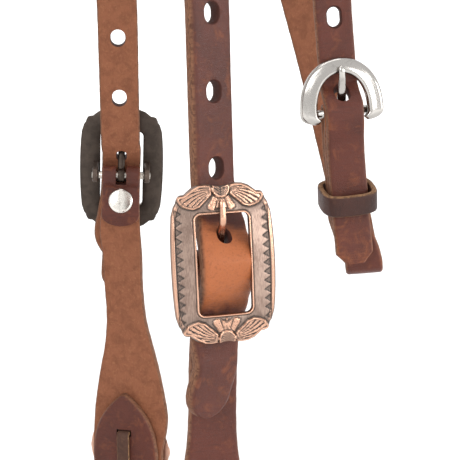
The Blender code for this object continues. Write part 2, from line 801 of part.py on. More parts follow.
def crown_strap(sides, look):
    near, off = (crown_side(side) for side in sides)
    flat = [(Vector((x * POLL_FLAT / 2, 0, STRAP_T / 2)), Vector((0, 0, 1)), STRAP_W, STRAP_T)
            for x in (-1, 1)]
    ribbon = Ribbon(list(reversed(off)) + flat + near)
    marks = [ribbon.near(flat[0][0]), ribbon.near(flat[1][0])]
    strap = ribbon.build("crown_strap", look, tips=((STRAP_W * 0.55, False), (STRAP_W * 0.55, True)),
                         marks=marks)
    cuts = bmesh.new()
    for side, way in zip(sides, (-1, 1)):
        up, out = tongue_hole(side)
        first = ribbon.near(side.world(0, up, out))
        for i in range(HOLES):
            run = first + way * i * HOLE_PITCH
            prism(cuts, oval(HOLE_L, HOLE_W), -STRAP_T / 2 - CUT_OVER, STRAP_T / 2 + CUT_OVER,
                  ribbon.matrix(run))
    shape_with(strap, tool("crown_holes", cuts))
    return ribbon


def tongue_hole(side):
    """Where the tongue's line meets the middle of the strap."""
    slope = math.tan(tongue_angle())
    low, high = 0.0, BAR_V
    for _ in range(40):
        middle = (low + high) / 2
        if middle * slope < strap_out(side, middle):
            low = middle
        else:
            high = middle
    return low, low * slope


# Widening of the cheek toward its bit end, and of the inner tab from its point
WIDEN_SHARES = ((0.30, 0.0), (0.43, 0.0), (0.504, 0.04), (0.584, 0.18), (0.704, 0.555),
                (0.768, 0.735), (0.872, 0.94), (1.0, 1.0))
TAB_SHARES = ((1.0, 1.0), (0.72, 0.94), (0.47, 0.80), (0.25, 0.55), (0.10, 0.29), (0.0, 0.07))


def bit_neck():
    """Where the two layers part above the loop for the bit, below the pin."""
    return CONCHO_DROP + CONCHO_R + CONCHO_T / 3 + 3 * SEAT


def cheek_knots(side):
    """The cheek in one piece: folded end, round the pin, down, round the bit, inner tab."""
    turn = side.turn["cheek"]
    wrap_r = PIN_R + PIN_GAP + FOLD_T / 2
    knots = []
    screw, fold = cheek_screw_out(side), fold_screw_out(side)
    reach = (-HEAD_R, 0, SCREW_FLAT)
    bar = min(cheek_bar_out(side), screw - SCREW_SLOPE * HEAD_R * 1.15)
    below = bar - PLY_STEP
    knots.append((side.world(0, -FOLD_LEN, below), -side.facing(turn), CHEEK_W, FOLD_END_T))
    for step in reach:
        knots.append((side.world(0, -SCREW_DROP + step, fold + SCREW_SLOPE * step),
                      -side.facing(turn * 0.5), CHEEK_W, FOLD_END_T))
    for degrees in (185, 165, 145, 125, 105, 85, 65, 45, 25, 5, -10):
        a = math.radians(degrees)
        face = side.out * math.cos(a) + side.up * math.sin(a)
        knots.append((side.world(0, wrap_r * math.sin(a), wrap_r * math.cos(a)), face, CHEEK_W,
                      FOLD_T))
    for step in reversed(reach):
        knots.append((side.world(0, -SCREW_DROP + step, screw + SCREW_SLOPE * step),
                      side.facing(turn * 0.5), CHEEK_W, FOLD_T))
    for up in (OPEN_H / 2, BAR_V):
        knots.append((side.world(0, -up, bar), side.facing(turn), CHEEK_W, FOLD_T))
    hang = Hang(side)
    for share, wide in WIDEN_SHARES:
        knots.append((hang.world(0, share * CONCHO_DROP, 0), hang.out,
                      CHEEK_W + (CHEEK_WIDE - CHEEK_W) * wide, CHEEK_T))
    inner = -(CHEEK_T + LEATHER_GAP)
    neck = bit_neck()
    loop = neck + BIT_NECK
    wide = CHEEK_W + (CHEEK_WIDE - CHEEK_W) * 0.9
    knots.append((hang.world(0, neck, 0), hang.out, wide, CHEEK_T))
    for degrees in (40, 10, -20, -50, -80, -100, -130, -160, -190, -220):
        a = math.radians(degrees)
        width = LOOP_W + (wide - LOOP_W) * abs((degrees + 90) / 130) ** 2 * 0.6
        knots.append((hang.world(0, loop - BIT_LOOP_R * math.sin(a),
                                 inner / 2 + BIT_LOOP_R * math.cos(a)),
                      hang.out * math.cos(a) + hang.up * math.sin(a), width, CHEEK_T))
    knots.append((hang.world(0, neck, inner), -hang.out, TAB_WIDE, CHEEK_T))
    for share, part in TAB_SHARES:
        drop = TAB_DROP + (CONCHO_DROP - TAB_DROP) * share
        knots.append((hang.world(0, drop, inner), -hang.out, TAB_WIDE * part, CHEEK_T))
    return knots


def block(model, matrix, size, centre):
    """Adds a box of the given size about a centre in a frame."""
    a, b, c = (v / 2 for v in size)
    x, y, z = centre
    prism(model, [(x + a, y + b), (x - a, y + b), (x - a, y - b), (x + a, y - b)], z - c, z + c,
          matrix)


def screw_matrix(side):
    """Frame of the cheek's screw, square to both layers, Z outward from the outer one."""
    spot = Matrix.Translation((0, -SCREW_DROP, cheek_screw_out(side)))
    turn = side.turn["cheek"] * side.sign / 2
    return (side.matrix @ spot @ Matrix.Rotation(math.radians(turn), 4, "Y")
            @ Matrix.Rotation(math.atan(SCREW_SLOPE), 4, "X"))


def cheek(side, look):
    ribbon = Ribbon(cheek_knots(side))
    hang = Hang(side)
    inner = -(CHEEK_T + LEATHER_GAP)
    marks = [ribbon.near(hang.world(0, drop, out)) for drop in (bit_neck(), CONCHO_DROP, SLIT_OFF
             + CONCHO_DROP, TAB_DROP * 1.1) for out in (0, inner)]
    marks += [ribbon.near(side.world(0, -SCREW_DROP + step, out(side) + SCREW_SLOPE * step))
              for step in (-HEAD_R, SCREW_FLAT) for out in (cheek_screw_out, fold_screw_out)]
    piece = ribbon.build(side.name + "_cheek", look, tips=((CHEEK_W * 0.3, False),), marks=marks)
    cuts = bmesh.new()
    reach = FOLD_OUT + CUT_OVER
    slot = EYE_R + SEAT
    block(cuts, side.matrix, (TONGUE_SLOT, reach + slot, 2 * reach), (0, (reach - slot) / 2, 0))
    bore = BARREL_R + LEATHER_GAP
    prism(cuts, [(bore * math.cos(math.radians(a)), bore * math.sin(math.radians(a)))
                 for a in range(0, 360, 30)], -FOLD_T / 2 - FOLD_END_T - 2 * CUT_OVER,
          FOLD_T / 2 + CUT_OVER, screw_matrix(side))
    frame = hang.matrix(CONCHO_DROP, -(CHEEK_T + LEATHER_GAP) / 2)
    through = 2 * CHEEK_T + LEATHER_GAP + 2 * CUT_OVER
    for hand in (1, -1):
        block(cuts, frame, (SLIT_W, SLIT_H, through), (0, hand * SLIT_OFF, 0))
    shape_with(piece, tool(side.name + "_cheek_cuts", cuts))
    return piece


# Screws

def screw_pair(name, matrix, grip, looks):
    """A two-part screw through leather of a given thickness, along the matrix's Z: a flanged
    barrel with a blind bore on the +Z side, a slotted screw on the -Z side."""
    outer = grip / 2 + SEAT
    post = bmesh.new()
    bore_end = outer + HEAD_T / 3
    barrel_end = -grip / 2 + SEAT
    lathe(post, ((0, bore_end), (BORE_R, bore_end), (BORE_R, barrel_end), (BARREL_R, barrel_end),
                 (BARREL_R, outer), (HEAD_R, outer), (HEAD_R, outer + HEAD_T / 2),
                 (HEAD_R * 0.8, outer + HEAD_T), (0, outer + HEAD_T)), 14, matrix)
    solid(name + "_post", post, looks)
    screw = bmesh.new()
    lathe(screw, ((0, outer), (SHANK_R, outer), (SHANK_R, -outer), (HEAD_R, -outer),
                  (HEAD_R, -outer - HEAD_T / 2), (HEAD_R * 0.8, -outer - HEAD_T),
                  (0, -outer - HEAD_T)), 14, matrix)
    piece = solid(name + "_screw", screw, looks)
    slot = bmesh.new()
    block(slot, matrix, (SLOT_W, 2 * HEAD_R + CUT_OVER, 2 * SLOT_D), (0, 0, -outer - HEAD_T))
    shape_with(piece, tool(name + "_slot", slot))


def cheek_screw(side, look):
    matrix = screw_matrix(side)
    grip = FOLD_T + LEATHER_GAP + FOLD_END_T
    screw_pair(side.name + "_cheek", matrix @ Matrix.Translation((0, 0, (FOLD_T - grip) / 2)), grip,
               look)


# Concho and lace

FLUTES = 12


def concho(side, look):
    """A fluted dished disc with two slots for the lace."""
    matrix = Hang(side).matrix(CONCHO_DROP, CHEEK_T / 2 + SEAT)
    count = FLUTES * 3
    model = bmesh.new()

    def ring(radius, height, flute):
        row = []
        for i in range(count):
            turn = 2 * math.pi * i / count
            wave = math.cos(FLUTES * turn)
            r = radius + flute * CONCHO_T / 3 * wave
            row.append(model.verts.new((r * math.cos(turn), r * math.sin(turn),
                                        height + abs(flute) * CONCHO_T / 4 * wave)))
        return row

    top = CONCHO_T
    rows = [ring(CONCHO_R * 0.35, top + CONCHO_RISE * 0.9, 0), ring(CONCHO_R * 0.62, top + CONCHO_RISE * 0.62, 0),
            ring(CONCHO_R * 0.86, top + CONCHO_RISE * 0.22, 1), ring(CONCHO_R, CONCHO_T / 2, 1),
            ring(CONCHO_R, 0, 1), ring(CONCHO_R * 0.78, 0, 0)]
    for one, two in zip(rows, rows[1:]):
        for i in range(count):
            k = (i + 1) % count
            model.faces.new((one[i], one[k], two[k], two[i]))
    crown = model.verts.new((0, 0, top + CONCHO_RISE))
    for i in range(count):
        model.faces.new((crown, rows[0][i], rows[0][(i + 1) % count]))
    model.faces.new(rows[-1])
    bmesh.ops.recalc_face_normals(model, faces=model.faces)
    piece = solid(side.name + "_concho", model, look, matrix)
    cuts = bmesh.new()
    deep = CONCHO_T + CONCHO_RISE + CUT_OVER
    for hand in (1, -1):
        block(cuts, Matrix.Identity(4), (SLIT_W, SLIT_H, 2 * deep), (0, hand * SLIT_OFF, 0))
    shape_with(piece, tool(side.name + "_concho_slots", cuts, matrix))
    return piece


def lace(side, look):
    """The bit lace: flat behind the tab, out through both slits, crossed over, two free ends."""
    hang = Hang(side)
    back = -(CHEEK_T * 3 / 2 + LEATHER_GAP) - SEAT - LACE_T / 2
    face = CHEEK_T / 2 + SEAT + CONCHO_T + CONCHO_RISE + SEAT + LACE_T / 2
    second = face + LACE_T + SEAT
    knots = []

    def knot(rear, up, out, normal):
        knots.append((hang.world(rear, CONCHO_DROP - up, out), normal, LACE_W, LACE_T))

    out, up = hang.out, hang.up
    bend = LACE_BEND
    clear = max(face, BIT_LOOP_R + CHEEK_T / 2 + SEAT + LACE_T / 2)
    knot(LACE_SPREAD, -LACE_END, clear, out)
    knot(LACE_SPREAD, -LACE_END * 0.6, clear, out)
    for degrees in (90, 60, 30, 0):
        a = math.radians(degrees)
        knot(0, -SLIT_OFF - bend + bend * math.cos(a), face - bend + bend * math.sin(a),
             out * math.sin(a) + up * math.cos(a))
    for degrees in (0, 30, 60, 90):
        a = math.radians(degrees)
        knot(0, -SLIT_OFF + bend - bend * math.cos(a), back + bend - bend * math.sin(a),
             up * math.cos(a) + out * math.sin(a))
    for degrees in (90, 60, 30, 0):
        a = math.radians(degrees)
        knot(0, SLIT_OFF - bend + bend * math.cos(a), back + bend - bend * math.sin(a),
             out * math.sin(a) - up * math.cos(a))
    for degrees in (0, 30, 60, 90):
        a = math.radians(degrees)
        knot(0, SLIT_OFF - bend + bend * math.cos(a), face - bend + bend * math.sin(a),
             -up * math.cos(a) - out * math.sin(a))
    knot(0, 0, face + SEAT, -out)
    knot(0, -SLIT_OFF + bend * 2, second, -out)
    knot(0, -SLIT_OFF - LACE_T, second + SEAT, -out)
    knot(-LACE_SPREAD * 0.5, -SLIT_OFF - LACE_W * 2, max(second, clear + LACE_T) + 2 * SEAT, -out)
    knot(-LACE_SPREAD, -LACE_END, clear + LACE_T + 2 * SEAT, -out)
    piece = Ribbon(knots).build(side.name + "_lace", look)
    return piece


# Throatlatch

SHOE_IN = SHOE_W / 2 - SHOE_BAND
THIN_OUT = SHOE_BAR_R + PIN_GAP + THIN_T
TAIL_OUT = -SHOE_BAR_BACK + THIN_OUT + 2 * SEAT + THROAT_T / 2   # strap over the bar
MAIN_OUT = -SHOE_BAR_BACK - THIN_T / 2                              # layer below the bar
FOLD_OUT_T = MAIN_OUT - THROAT_T / 2 - LEATHER_GAP - SEAT - SHOE_FOLD_T / 2
REST_OUT = MAIN_OUT + THROAT_T + LEATHER_GAP                        # strap end below the bar


def shoe_out(up):
    """Middle of the throat strap: behind the horseshoe's top, over its bar."""
    low = -SEAT * 2 - THROAT_T / 2
    inside = SHOE_RISE - SHOE_CROWN
    if up >= 0:
        way = (up - SHOE_BAR_R) / (inside * 0.76 - SHOE_BAR_R)
        share = (1 - math.cos(math.pi * min(max(way, 0.0), 1.0))) / 2
        return TAIL_OUT + (low - TAIL_OUT) * share
    share = (1 - math.cos(math.pi * min(-up / inside, 1.0))) / 2
    return TAIL_OUT + (REST_OUT - TAIL_OUT) * share


def shoe_buckle(place, look):
    """The horseshoe with its bar in one piece: flat back, softly domed band."""
    model = bmesh.new()
    rows = []
    stops = [(-1, share) for share in (1.0, 0.35)] + [(0, a) for a in range(0, 181, 15)]
    stops += [(1, share) for share in (0.35, 1.0)]
    inside_h = SHOE_RISE - SHOE_CROWN
    for kind, value in stops:
        if kind:
            inner = Vector((-kind * SHOE_IN, -SHOE_FOOT * value))
            outer = Vector((-kind * (SHOE_W / 2 - SHOE_BAND * 0.42 * value), -SHOE_FOOT * value * 1.1))
        else:
            a = math.radians(value)
            inner = Vector((SHOE_IN * math.cos(a), inside_h * math.sin(a) ** 0.8))
            outer = Vector((SHOE_W / 2 * math.cos(a) * (1 + 0.02 * math.sin(2 * a) ** 2),
                            SHOE_RISE * math.sin(a) ** 0.9))
        row = []
        for share, height in ((0, 0), (0.02, 0.7), (0.14, 1.0), (0.55, 0.96), (0.86, 0.74),
                              (1.0, 0.36), (0.93, 0)):
            spot = inner + (outer - inner) * share
            row.append(model.verts.new((spot.x, spot.y, height * SHOE_T)))
        rows.append(row)
    for one, two in zip(rows, rows[1:]):
        for j in range(len(one)):
            k = (j + 1) % len(one)
            model.faces.new((one[j], one[k], two[k], two[j]))
    model.faces.new(rows[0])
    model.faces.new(rows[-1])
    bmesh.ops.recalc_face_normals(model, faces=model.faces)
    piece = solid("throat_buckle", model, look, place.matrix)
    bar = bmesh.new()
    reach = SHOE_IN + SHOE_BAND / 3
    lathe(bar, ((0, -reach), (SHOE_BAR_R, -reach), (SHOE_BAR_R, reach), (0, reach)), 14,
          Matrix.Translation((0, 0, -SHOE_BAR_BACK)) @ AXLE)
    ends = bmesh.new()
    for hand in (1, -1):
        low, high = sorted((hand * (SHOE_IN + SEAT), hand * reach))
        prism(ends, ((SHOE_BAR_R, SHOE_T / 2), (-SHOE_BAR_R, SHOE_T / 2),
                     (-SHOE_BAR_R, -SHOE_BAR_BACK), (SHOE_BAR_R, -SHOE_BAR_BACK)), low, high, AXLE)
    shape_with(piece, tool("throat_bar", bar, place.matrix), "UNION")
    shape_with(piece, tool("throat_bar_ends", ends, place.matrix), "UNION")
    return piece


# The strap beside the poll: shares of half the span, of the setback and of the drop, slope
THROAT_NEAR_SHARES = ((0.28, 0.37, 0.012, 30), (0.44, 0.42, 0.065, 52), (0.57, 0.52, 0.16, 68),
                      (0.665, 0.64, 0.29, 78), (0.735, 0.80, 0.44, 84))
THROAT_FAR_SHARES = ((0.28, 0.37, 0.012, 30), (0.43, 0.44, 0.075, 52), (0.49, 0.55, 0.17, 66),
                     (0.44, 0.70, 0.30, 70), (0.22, 0.90, 0.48, 70))
# Behind the buckle: share of the fold's drop below the bar, depth behind the front layer as a
# share of the fold's radius, share of the rear shift
FAR_RISE_SHARES = ((0.8796, 2.353, 1.0), (0.7037, 3.382, 0.9), (0.4074, 5.588, 0.7),
                   (0.0, 8.824, 0.4))


def throat_knots(place):
    knots = []

    def local(rear, up, out, face, thick=THROAT_T, width=THROAT_W):
        knots.append((place.world(rear, up, out), face, width, thick))

    out = place.out
    bar = -SHOE_BAR_BACK
    wrap = SHOE_BAR_R + PIN_GAP + THIN_T / 2

    def slant(up):
        """Rearward shift and twist of the lower layers below the keeper."""
        share = max(0.0, (-up - KEEPER_DROP - KEEPER_W) / (BOTTOM_DROP - KEEPER_DROP - KEEPER_W))
        return BOTTOM_REAR * share, place.facing(BOTTOM_TWIST * share)

    for up in (-SHOE_FOLD_LEN, -SHOE_FOLD_LEN * 0.8, -KEEPER_DROP - KEEPER_W, -KEEPER_DROP,
               -SHOE_FOLD_LEN * 0.25):
        rear, face = slant(up)
        local(rear, up, FOLD_OUT_T, -face, SHOE_FOLD_T)
    for degrees in (180, 155, 130, 105, 80, 55, 30, 5):
        a = math.radians(degrees)
        local(0, wrap * math.sin(a), bar + wrap * math.cos(a),
              out * math.cos(a) + place.up * math.sin(a), THIN_T)
    local(0, -SHOE_FOLD_LEN * 0.25, MAIN_OUT, out)
    local(0, -KEEPER_DROP, MAIN_OUT, out)
    local(0, -KEEPER_DROP - KEEPER_W, MAIN_OUT, out)
    for share in (0.8, 1.0):
        rear, face = slant(-SHOE_FOLD_LEN * share)
        local(rear, -SHOE_FOLD_LEN * share, MAIN_OUT, face)
    _, face = slant(-BOTTOM_DROP)
    centre = place.world(BOTTOM_REAR, -BOTTOM_DROP, MAIN_OUT) - face * BOTTOM_R
    for degrees in (0, -30, -60, -90, -120, -150, -180):
        a = math.radians(degrees)
        toward = face * math.cos(a) + place.up * math.sin(a)
        knots.append((centre + toward * BOTTOM_R, toward, THROAT_W, THROAT_T))
    for up, behind, rear in FAR_RISE_SHARES:
        local(BOTTOM_REAR * rear, -up * BOTTOM_DROP, MAIN_OUT - behind * BOTTOM_R, -face)
    for span, back, drop, slope in reversed(THROAT_FAR_SHARES):
        lie = math.radians(slope)
        level = Vector((-math.cos(math.radians(18)), math.sin(math.radians(18)), 0))
        knots.append((Vector((-span * HALF_SPAN, back * THROAT_BACK, THROAT_T / 2 - drop * DROP)),
                      level * math.sin(lie) + Vector((0, 0, math.cos(lie))), THROAT_W, THROAT_T))
    for hand in (-1, 1):
        knots.append((Vector((hand * POLL_FLAT / 2, THROAT_Y, THROAT_T / 2)), Vector((0, 0, 1)),
                      THROAT_W, THROAT_T))
    for span, back, drop, slope in THROAT_NEAR_SHARES:
        lie = math.radians(slope)
        level = Vector((math.cos(math.radians(-5)), math.sin(math.radians(-5)), 0))
        knots.append((Vector((span * HALF_SPAN, back * THROAT_BACK, THROAT_T / 2 - drop * DROP)),
                      level * math.sin(lie) + Vector((0, 0, math.cos(lie))), THROAT_W, THROAT_T))
    inside = SHOE_RISE - SHOE_CROWN
    for share in (2.6, 1.9, 1.35, 1.0, 0.75, 0.6, 0.45, 0.3, 0.12, -0.1, -0.3, -0.5, -0.75, -1.0):
        local(0, share * inside, shoe_out(share * inside), out)
    local(0, -KEEPER_DROP, REST_OUT, out)
    local(0, -KEEPER_DROP - KEEPER_W * 0.8, REST_OUT, out)
    lift = lean(14, THROAT_W)
    local(0, -THROAT_TAIL * 0.82, REST_OUT + lift * 0.6, out)
    local(0, -THROAT_TAIL, REST_OUT + lift, out)
    return knots


def shoe_tongue_points():
    over = SEAT * 2 + TONGUE_T / 2
    inside = SHOE_RISE - SHOE_CROWN - TONGUE_T / 2
    tip = SHOE_RISE - SHOE_CROWN * 0.45
    high = SHOE_T + over + SHOE_BAR_BACK
    return ((inside, high), ((inside + tip) / 2, high + SEAT), (tip, high))


def throat_strap(place, look):
    ribbon = Ribbon(throat_knots(place))
    marks = [ribbon.near(place.world(BOTTOM_REAR / 2, -up, out))
             for out in (MAIN_OUT, FOLD_OUT_T)
             for up in (SHOE_FOLD_LEN / 4, KEEPER_DROP, KEEPER_DROP + KEEPER_W,
                        SHOE_FOLD_LEN * 0.8, SHOE_FOLD_LEN)]
    marks += [ribbon.near(place.world(0, -up, REST_OUT))
              for up in (SHOE_FOLD_LEN / 4, SHOE_RISE - SHOE_CROWN, KEEPER_DROP - KEEPER_W,
                         KEEPER_DROP + KEEPER_W * 0.8)]
    marks.append(ribbon.near(place.world(BOTTOM_REAR, -BOTTOM_DROP * 0.97, MAIN_OUT)))
    marks += [ribbon.near((x * POLL_FLAT / 2, THROAT_Y, THROAT_T / 2)) for x in (-1, 1)]
    marks += [ribbon.near(place.world(BOTTOM_REAR, -up * BOTTOM_DROP,
                                      MAIN_OUT - behind * BOTTOM_R))
              for up, behind, _ in FAR_RISE_SHARES[:2]]
    piece = ribbon.build("throatlatch_strap", look, marks=marks,
                         tips=((THROAT_W * 0.25, False), (THROAT_W * 0.42, True)))
    cuts = bmesh.new()
    points = shoe_tongue_points()
    slope = points[0][1] / points[0][0]
    low, high = 0.0, points[0][0]
    for _ in range(40):
        middle = (low + high) / 2
        if middle * slope - SHOE_BAR_BACK < shoe_out(middle):
            low = middle
        else:
            high = middle
    first = ribbon.near(place.world(0, low, low * slope - SHOE_BAR_BACK))
    for i in range(THROAT_HOLES):
        prism(cuts, oval(THROAT_HOLE_L, THROAT_HOLE_W), -THROAT_T / 2 - CUT_OVER,
              THROAT_T / 2 + CUT_OVER, ribbon.matrix(first - i * THROAT_PITCH))
    reach = THIN_OUT + CUT_OVER
    slot = SHOE_EYE_R + SEAT
    wide = SHOE_TONGUE_W + TONGUE_SLOT - TONGUE_W
    high_out = -SHOE_BAR_BACK + THIN_OUT + SEAT
    low_out = -SHOE_BAR_BACK - THIN_OUT - CUT_OVER
    shape_with(piece, tool("throat_holes", cuts))
    notch = bmesh.new()
    block(notch, place.matrix, (wide, reach + slot, high_out - low_out),
          (0, (reach - slot) / 2, (high_out + low_out) / 2))
    shape_with(piece, tool("throat_slot", notch))
    return ribbon


def keeper(place, look):
    """A closed leather loop round the strap end and both layers behind it."""
    front, back = REST_OUT + THROAT_T / 2, FOLD_OUT_T - SHOE_FOLD_T / 2
    tilt = math.radians(KEEPER_TILT)
    slack = KEEPER_GAP + KEEPER_T / 2
    half_d = ((front - back) / math.cos(tilt) + KEEPER_W * math.tan(tilt)) / 2 + slack
    half_w = THROAT_W / 2 + slack
    corner = min(half_w, half_d) * 0.5
    centre = place.world(0, -KEEPER_DROP, (front + back) / 2)
    out = place.out * math.cos(tilt) - place.up * math.sin(tilt)
    knots = []
    for cx, cy, start in ((1, 1, 0), (-1, 1, 90), (-1, -1, 180), (1, -1, 270)):
        for i in range(3):
            a = math.radians(start + 45 * i)
            x = cx * (half_w - corner) + corner * math.cos(a)
            y = cy * (half_d - corner) + corner * math.sin(a)
            face = place.across * math.cos(a) + out * math.sin(a)
            knots.append((centre + place.across * x + out * y, face, KEEPER_W, KEEPER_T))
    knots.append(knots[0])
    return Ribbon(knots, closed=True).build("throat_keeper", look)


# Browband

# Its bow round the forehead: shares of its half width and of its depth
BROW_SHARES = ((1.0, 0.42), (0.95, 0.60), (0.84, 0.78), (0.62, 0.92), (0.32, 0.99))


def brow_loop(crown_line, throat_line, sign):
    """Sizes of the end loop round both straps: outside, inside, rear."""
    spots = []
    for line in (crown_line, throat_line):
        for i, place in enumerate(line.place):
            if place[0] * sign > POLL_FLAT and abs(place[1]) < THROAT_BACK and place[2] > -2 * BROW_DROP:
                for a in (-1, 1):
                    for b in (-1, 1):
                        spot = (place + a * line.side[i] * line.width[i] / 2
                                + b * line.face[i] * line.thick[i] / 2)
                        if abs(spot[2] + BROW_DROP) < BROW_W / 2 + 2 * SEAT:
                            spots.append(spot)
    spots = np.array(spots)
    across = spots[:, 0] * sign
    gap = BROW_GAP + BROW_T / 2
    return (across.max() + gap, across.min() - gap, spots[:, 1].max() + gap + BROW_ROOM,
            spots[:, 1].min() - BROW_GAP)


def browband(crown_line, throat_line, look):
    """One strip, bowed round the forehead, its ends looped round both straps."""
    halves, screws, flats = [], [], []
    for sign in (1, -1):
        outside, inside, rear, front = brow_loop(crown_line, throat_line, sign)
        radius = (outside - inside) / 2
        knots = []

        def knot(across, along, face):
            knots.append((Vector((sign * across, along, -BROW_DROP)),
                          Vector((sign * face[0], face[1], 0)), BROW_W, BROW_T))

        middle = (outside + inside) / 2
        step = (BROW_T + LEATHER_GAP) / 2
        at = front - BROW_SCREW
        for along in (-1.6, 0, 1.35):
            knot(middle - step, at + HEAD_R * along, (-1, 0))
        knot(inside, front + BROW_GAP, (-1, 0))
        knot(inside, rear - radius, (-1, 0))
        for degrees in (150, 120, 90, 60, 30):
            a = math.radians(degrees)
            knot(middle + radius * math.cos(a), rear - radius + radius * math.sin(a),
                 (math.cos(a), math.sin(a)))
        knot(outside, rear - radius, (1, 0))
        knot(outside, front + BROW_GAP, (1, 0))
        knot(middle + step, at + HEAD_R * 1.35, (1, 0))
        knot(middle + step, at - HEAD_R * 1.35, (1, 0))
        for span, deep in BROW_SHARES:
            knot((middle + step) * span, -BROW_DEPTH * deep, (span ** 3, -deep ** 3))
        halves.append(knots)
        screws.append(Vector((sign * middle, at, -BROW_DROP)))
        flats += [Vector((sign * (middle + off), at + HEAD_R * along, -BROW_DROP))
                  for off in (-step, step) for along in (-1.2, 1.2)]
    front = [(Vector((0, -BROW_DEPTH, -BROW_DROP)), Vector((0, -1, 0)), BROW_W, BROW_T)]
    ribbon = Ribbon(halves[0] + front + list(reversed(halves[1])))
    marks = [ribbon.near(flat) for flat in flats]
    piece = ribbon.build("browband", look, marks=marks, tips=((BROW_W * 0.35, False), (BROW_W * 0.35, True)))
    bores = bmesh.new()
    for spot, name in zip(screws, ("near", "off")):
        out = Vector((math.copysign(1, spot.x), 0, 0))
        up = Vector((0, 0, 1))
        matrix = Matrix((up.cross(out), up, out)).transposed().to_4x4()
        matrix.translation = spot
        grip = 2 * BROW_T + LEATHER_GAP
        prism(bores, circle(BARREL_R + LEATHER_GAP), -grip / 2 - CUT_OVER, grip / 2 + CUT_OVER,
              matrix)
        screw_pair(name + "_brow", matrix, grip, NICKEL)
    shape_with(piece, tool("brow_bores", bores))
    return piece


CHEEK_PIECES = ("cheek", "cheek_post", "cheek_screw", "concho", "lace")


def hinge(name, matrix, pieces):
    """An empty on the axis the named pieces turn about or slide along; their places stay."""
    axis = bpy.data.objects.new(name, None)
    axis.matrix_world = matrix
    bpy.context.scene.collection.objects.link(axis)
    for piece in pieces:
        moved = bpy.data.objects[piece]
        moved.parent = axis
        moved.matrix_parent_inverse = matrix.inverted()


sides = [Side(name, origin=(values["sign"] * HALF_SPAN, 0, -DROP), **values)
         for name, values in SIDES.items()]
throat = Side("throat", origin=(THROAT_X, THROAT_BACK, -THROAT_DROP), **THROAT)
crown_line = crown_strap(sides, LEATHER)
throat_line = throat_strap(throat, LEATHER)
shoe_buckle(throat, NICKEL)
throat_bar = throat.matrix @ Matrix.Translation((0, 0, -SHOE_BAR_BACK))
tongue("throat_tongue", throat_bar, SHOE_BAR_R, SHOE_EYE_R, SHOE_TONGUE_W, TONGUE_T,
       shoe_tongue_points(), NICKEL)
keeper(throat, DARK_LEATHER)
browband(crown_line, throat_line, LEATHER)
for side in sides:
    buckle_frame(side, COPPER)
    buckle_pin(side, STEEL)
    buckle_tongue(side, COPPER)
    cheek(side, LEATHER)
    cheek_screw(side, NICKEL)
    concho(side, COPPER)
    lace(side, DARK_LEATHER)
    hinge(side.name + "_cheek_hinge", side.matrix,
          [side.name + "_" + piece for piece in CHEEK_PIECES])
hinge("throat_bar_hinge", throat_bar, ["throat_buckle", "throat_tongue"])
hinge("throat_keeper_way", throat.matrix @ Matrix.Translation((0, -KEEPER_DROP, MAIN_OUT)),
      ["throat_keeper"])
hinge("browband_way", Matrix.Translation((0, 0, -BROW_DROP)),
      ["browband", "near_brow_post", "near_brow_screw", "off_brow_post", "off_brow_screw"])
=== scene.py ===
"""Looks of the western headstall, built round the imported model.

The leather, the engraved copper cart buckles, the nickel horseshoe buckle, the conchos and the
laces are modelled here in finer form than the model's solids, in the same places. The sizes
and the knots of the straps are in metres, as in the model. The classes work in millimetres and
turn them to metres where a mesh is made.
"""
from __future__ import annotations

import logging
import math
from dataclasses import dataclass, field
from enum import Enum
from typing import Callable, Iterable, Sequence

import bmesh
import bpy
import numpy as np
from bpy.types import Material, Mesh, Node, NodeSocket, NodeTree, Object
from mathutils import Matrix, Vector

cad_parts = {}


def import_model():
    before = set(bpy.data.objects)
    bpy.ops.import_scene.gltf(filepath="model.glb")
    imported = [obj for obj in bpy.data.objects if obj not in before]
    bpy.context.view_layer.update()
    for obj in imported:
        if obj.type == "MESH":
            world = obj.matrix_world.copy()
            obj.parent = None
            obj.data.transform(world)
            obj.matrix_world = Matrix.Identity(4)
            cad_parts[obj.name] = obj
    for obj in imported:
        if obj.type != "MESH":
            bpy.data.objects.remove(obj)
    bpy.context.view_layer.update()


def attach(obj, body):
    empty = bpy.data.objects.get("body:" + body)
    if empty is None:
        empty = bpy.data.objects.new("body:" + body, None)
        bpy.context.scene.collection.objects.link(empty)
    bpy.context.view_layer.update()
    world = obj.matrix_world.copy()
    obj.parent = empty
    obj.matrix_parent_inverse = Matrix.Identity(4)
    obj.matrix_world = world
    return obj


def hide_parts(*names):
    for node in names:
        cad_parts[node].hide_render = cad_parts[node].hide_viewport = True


LOG = logging.getLogger("headstall")
MM = 0.001

Line = tuple[tuple[float, ...], ...]
Array = np.ndarray


# Finishes

def srgb(code: str) -> tuple[float, ...]:
    """A linear colour from an sRGB hex code.

    Args:
        code: Six hex digits, with or without the sign before them.

    Returns:
        Linear red, green and blue, and full opacity.
    """
    code = code.lstrip("#")
    parts = [int(code[i:i + 2], 16) / 255 for i in (0, 2, 4)]
    linear = [p / 12.92 if p <= 0.04045 else ((p + 0.055) / 1.055) ** 2.4 for p in parts]
    return (*linear, 1.0)


def add(tree: NodeTree, kind: str, links: dict | None = None, **settings) -> Node:
    """Adds a node, sets it and links it.

    Args:
        tree: The tree that gets the node.
        kind: The node's type name.
        links: For each input name or number, a source socket, a node, or a plain value.
        settings: Properties of the node.

    Returns:
        The new node.
    """
    node = tree.nodes.new(kind)
    for name, value in settings.items():
        setattr(node, name, value)
    for key, source in (links or {}).items():
        socket = node.inputs[key]
        if isinstance(source, Node):
            source = next(out for out in source.outputs if out.enabled)
        if isinstance(source, NodeSocket):
            tree.links.new(source, socket)
        else:
            socket.default_value = source
    return node


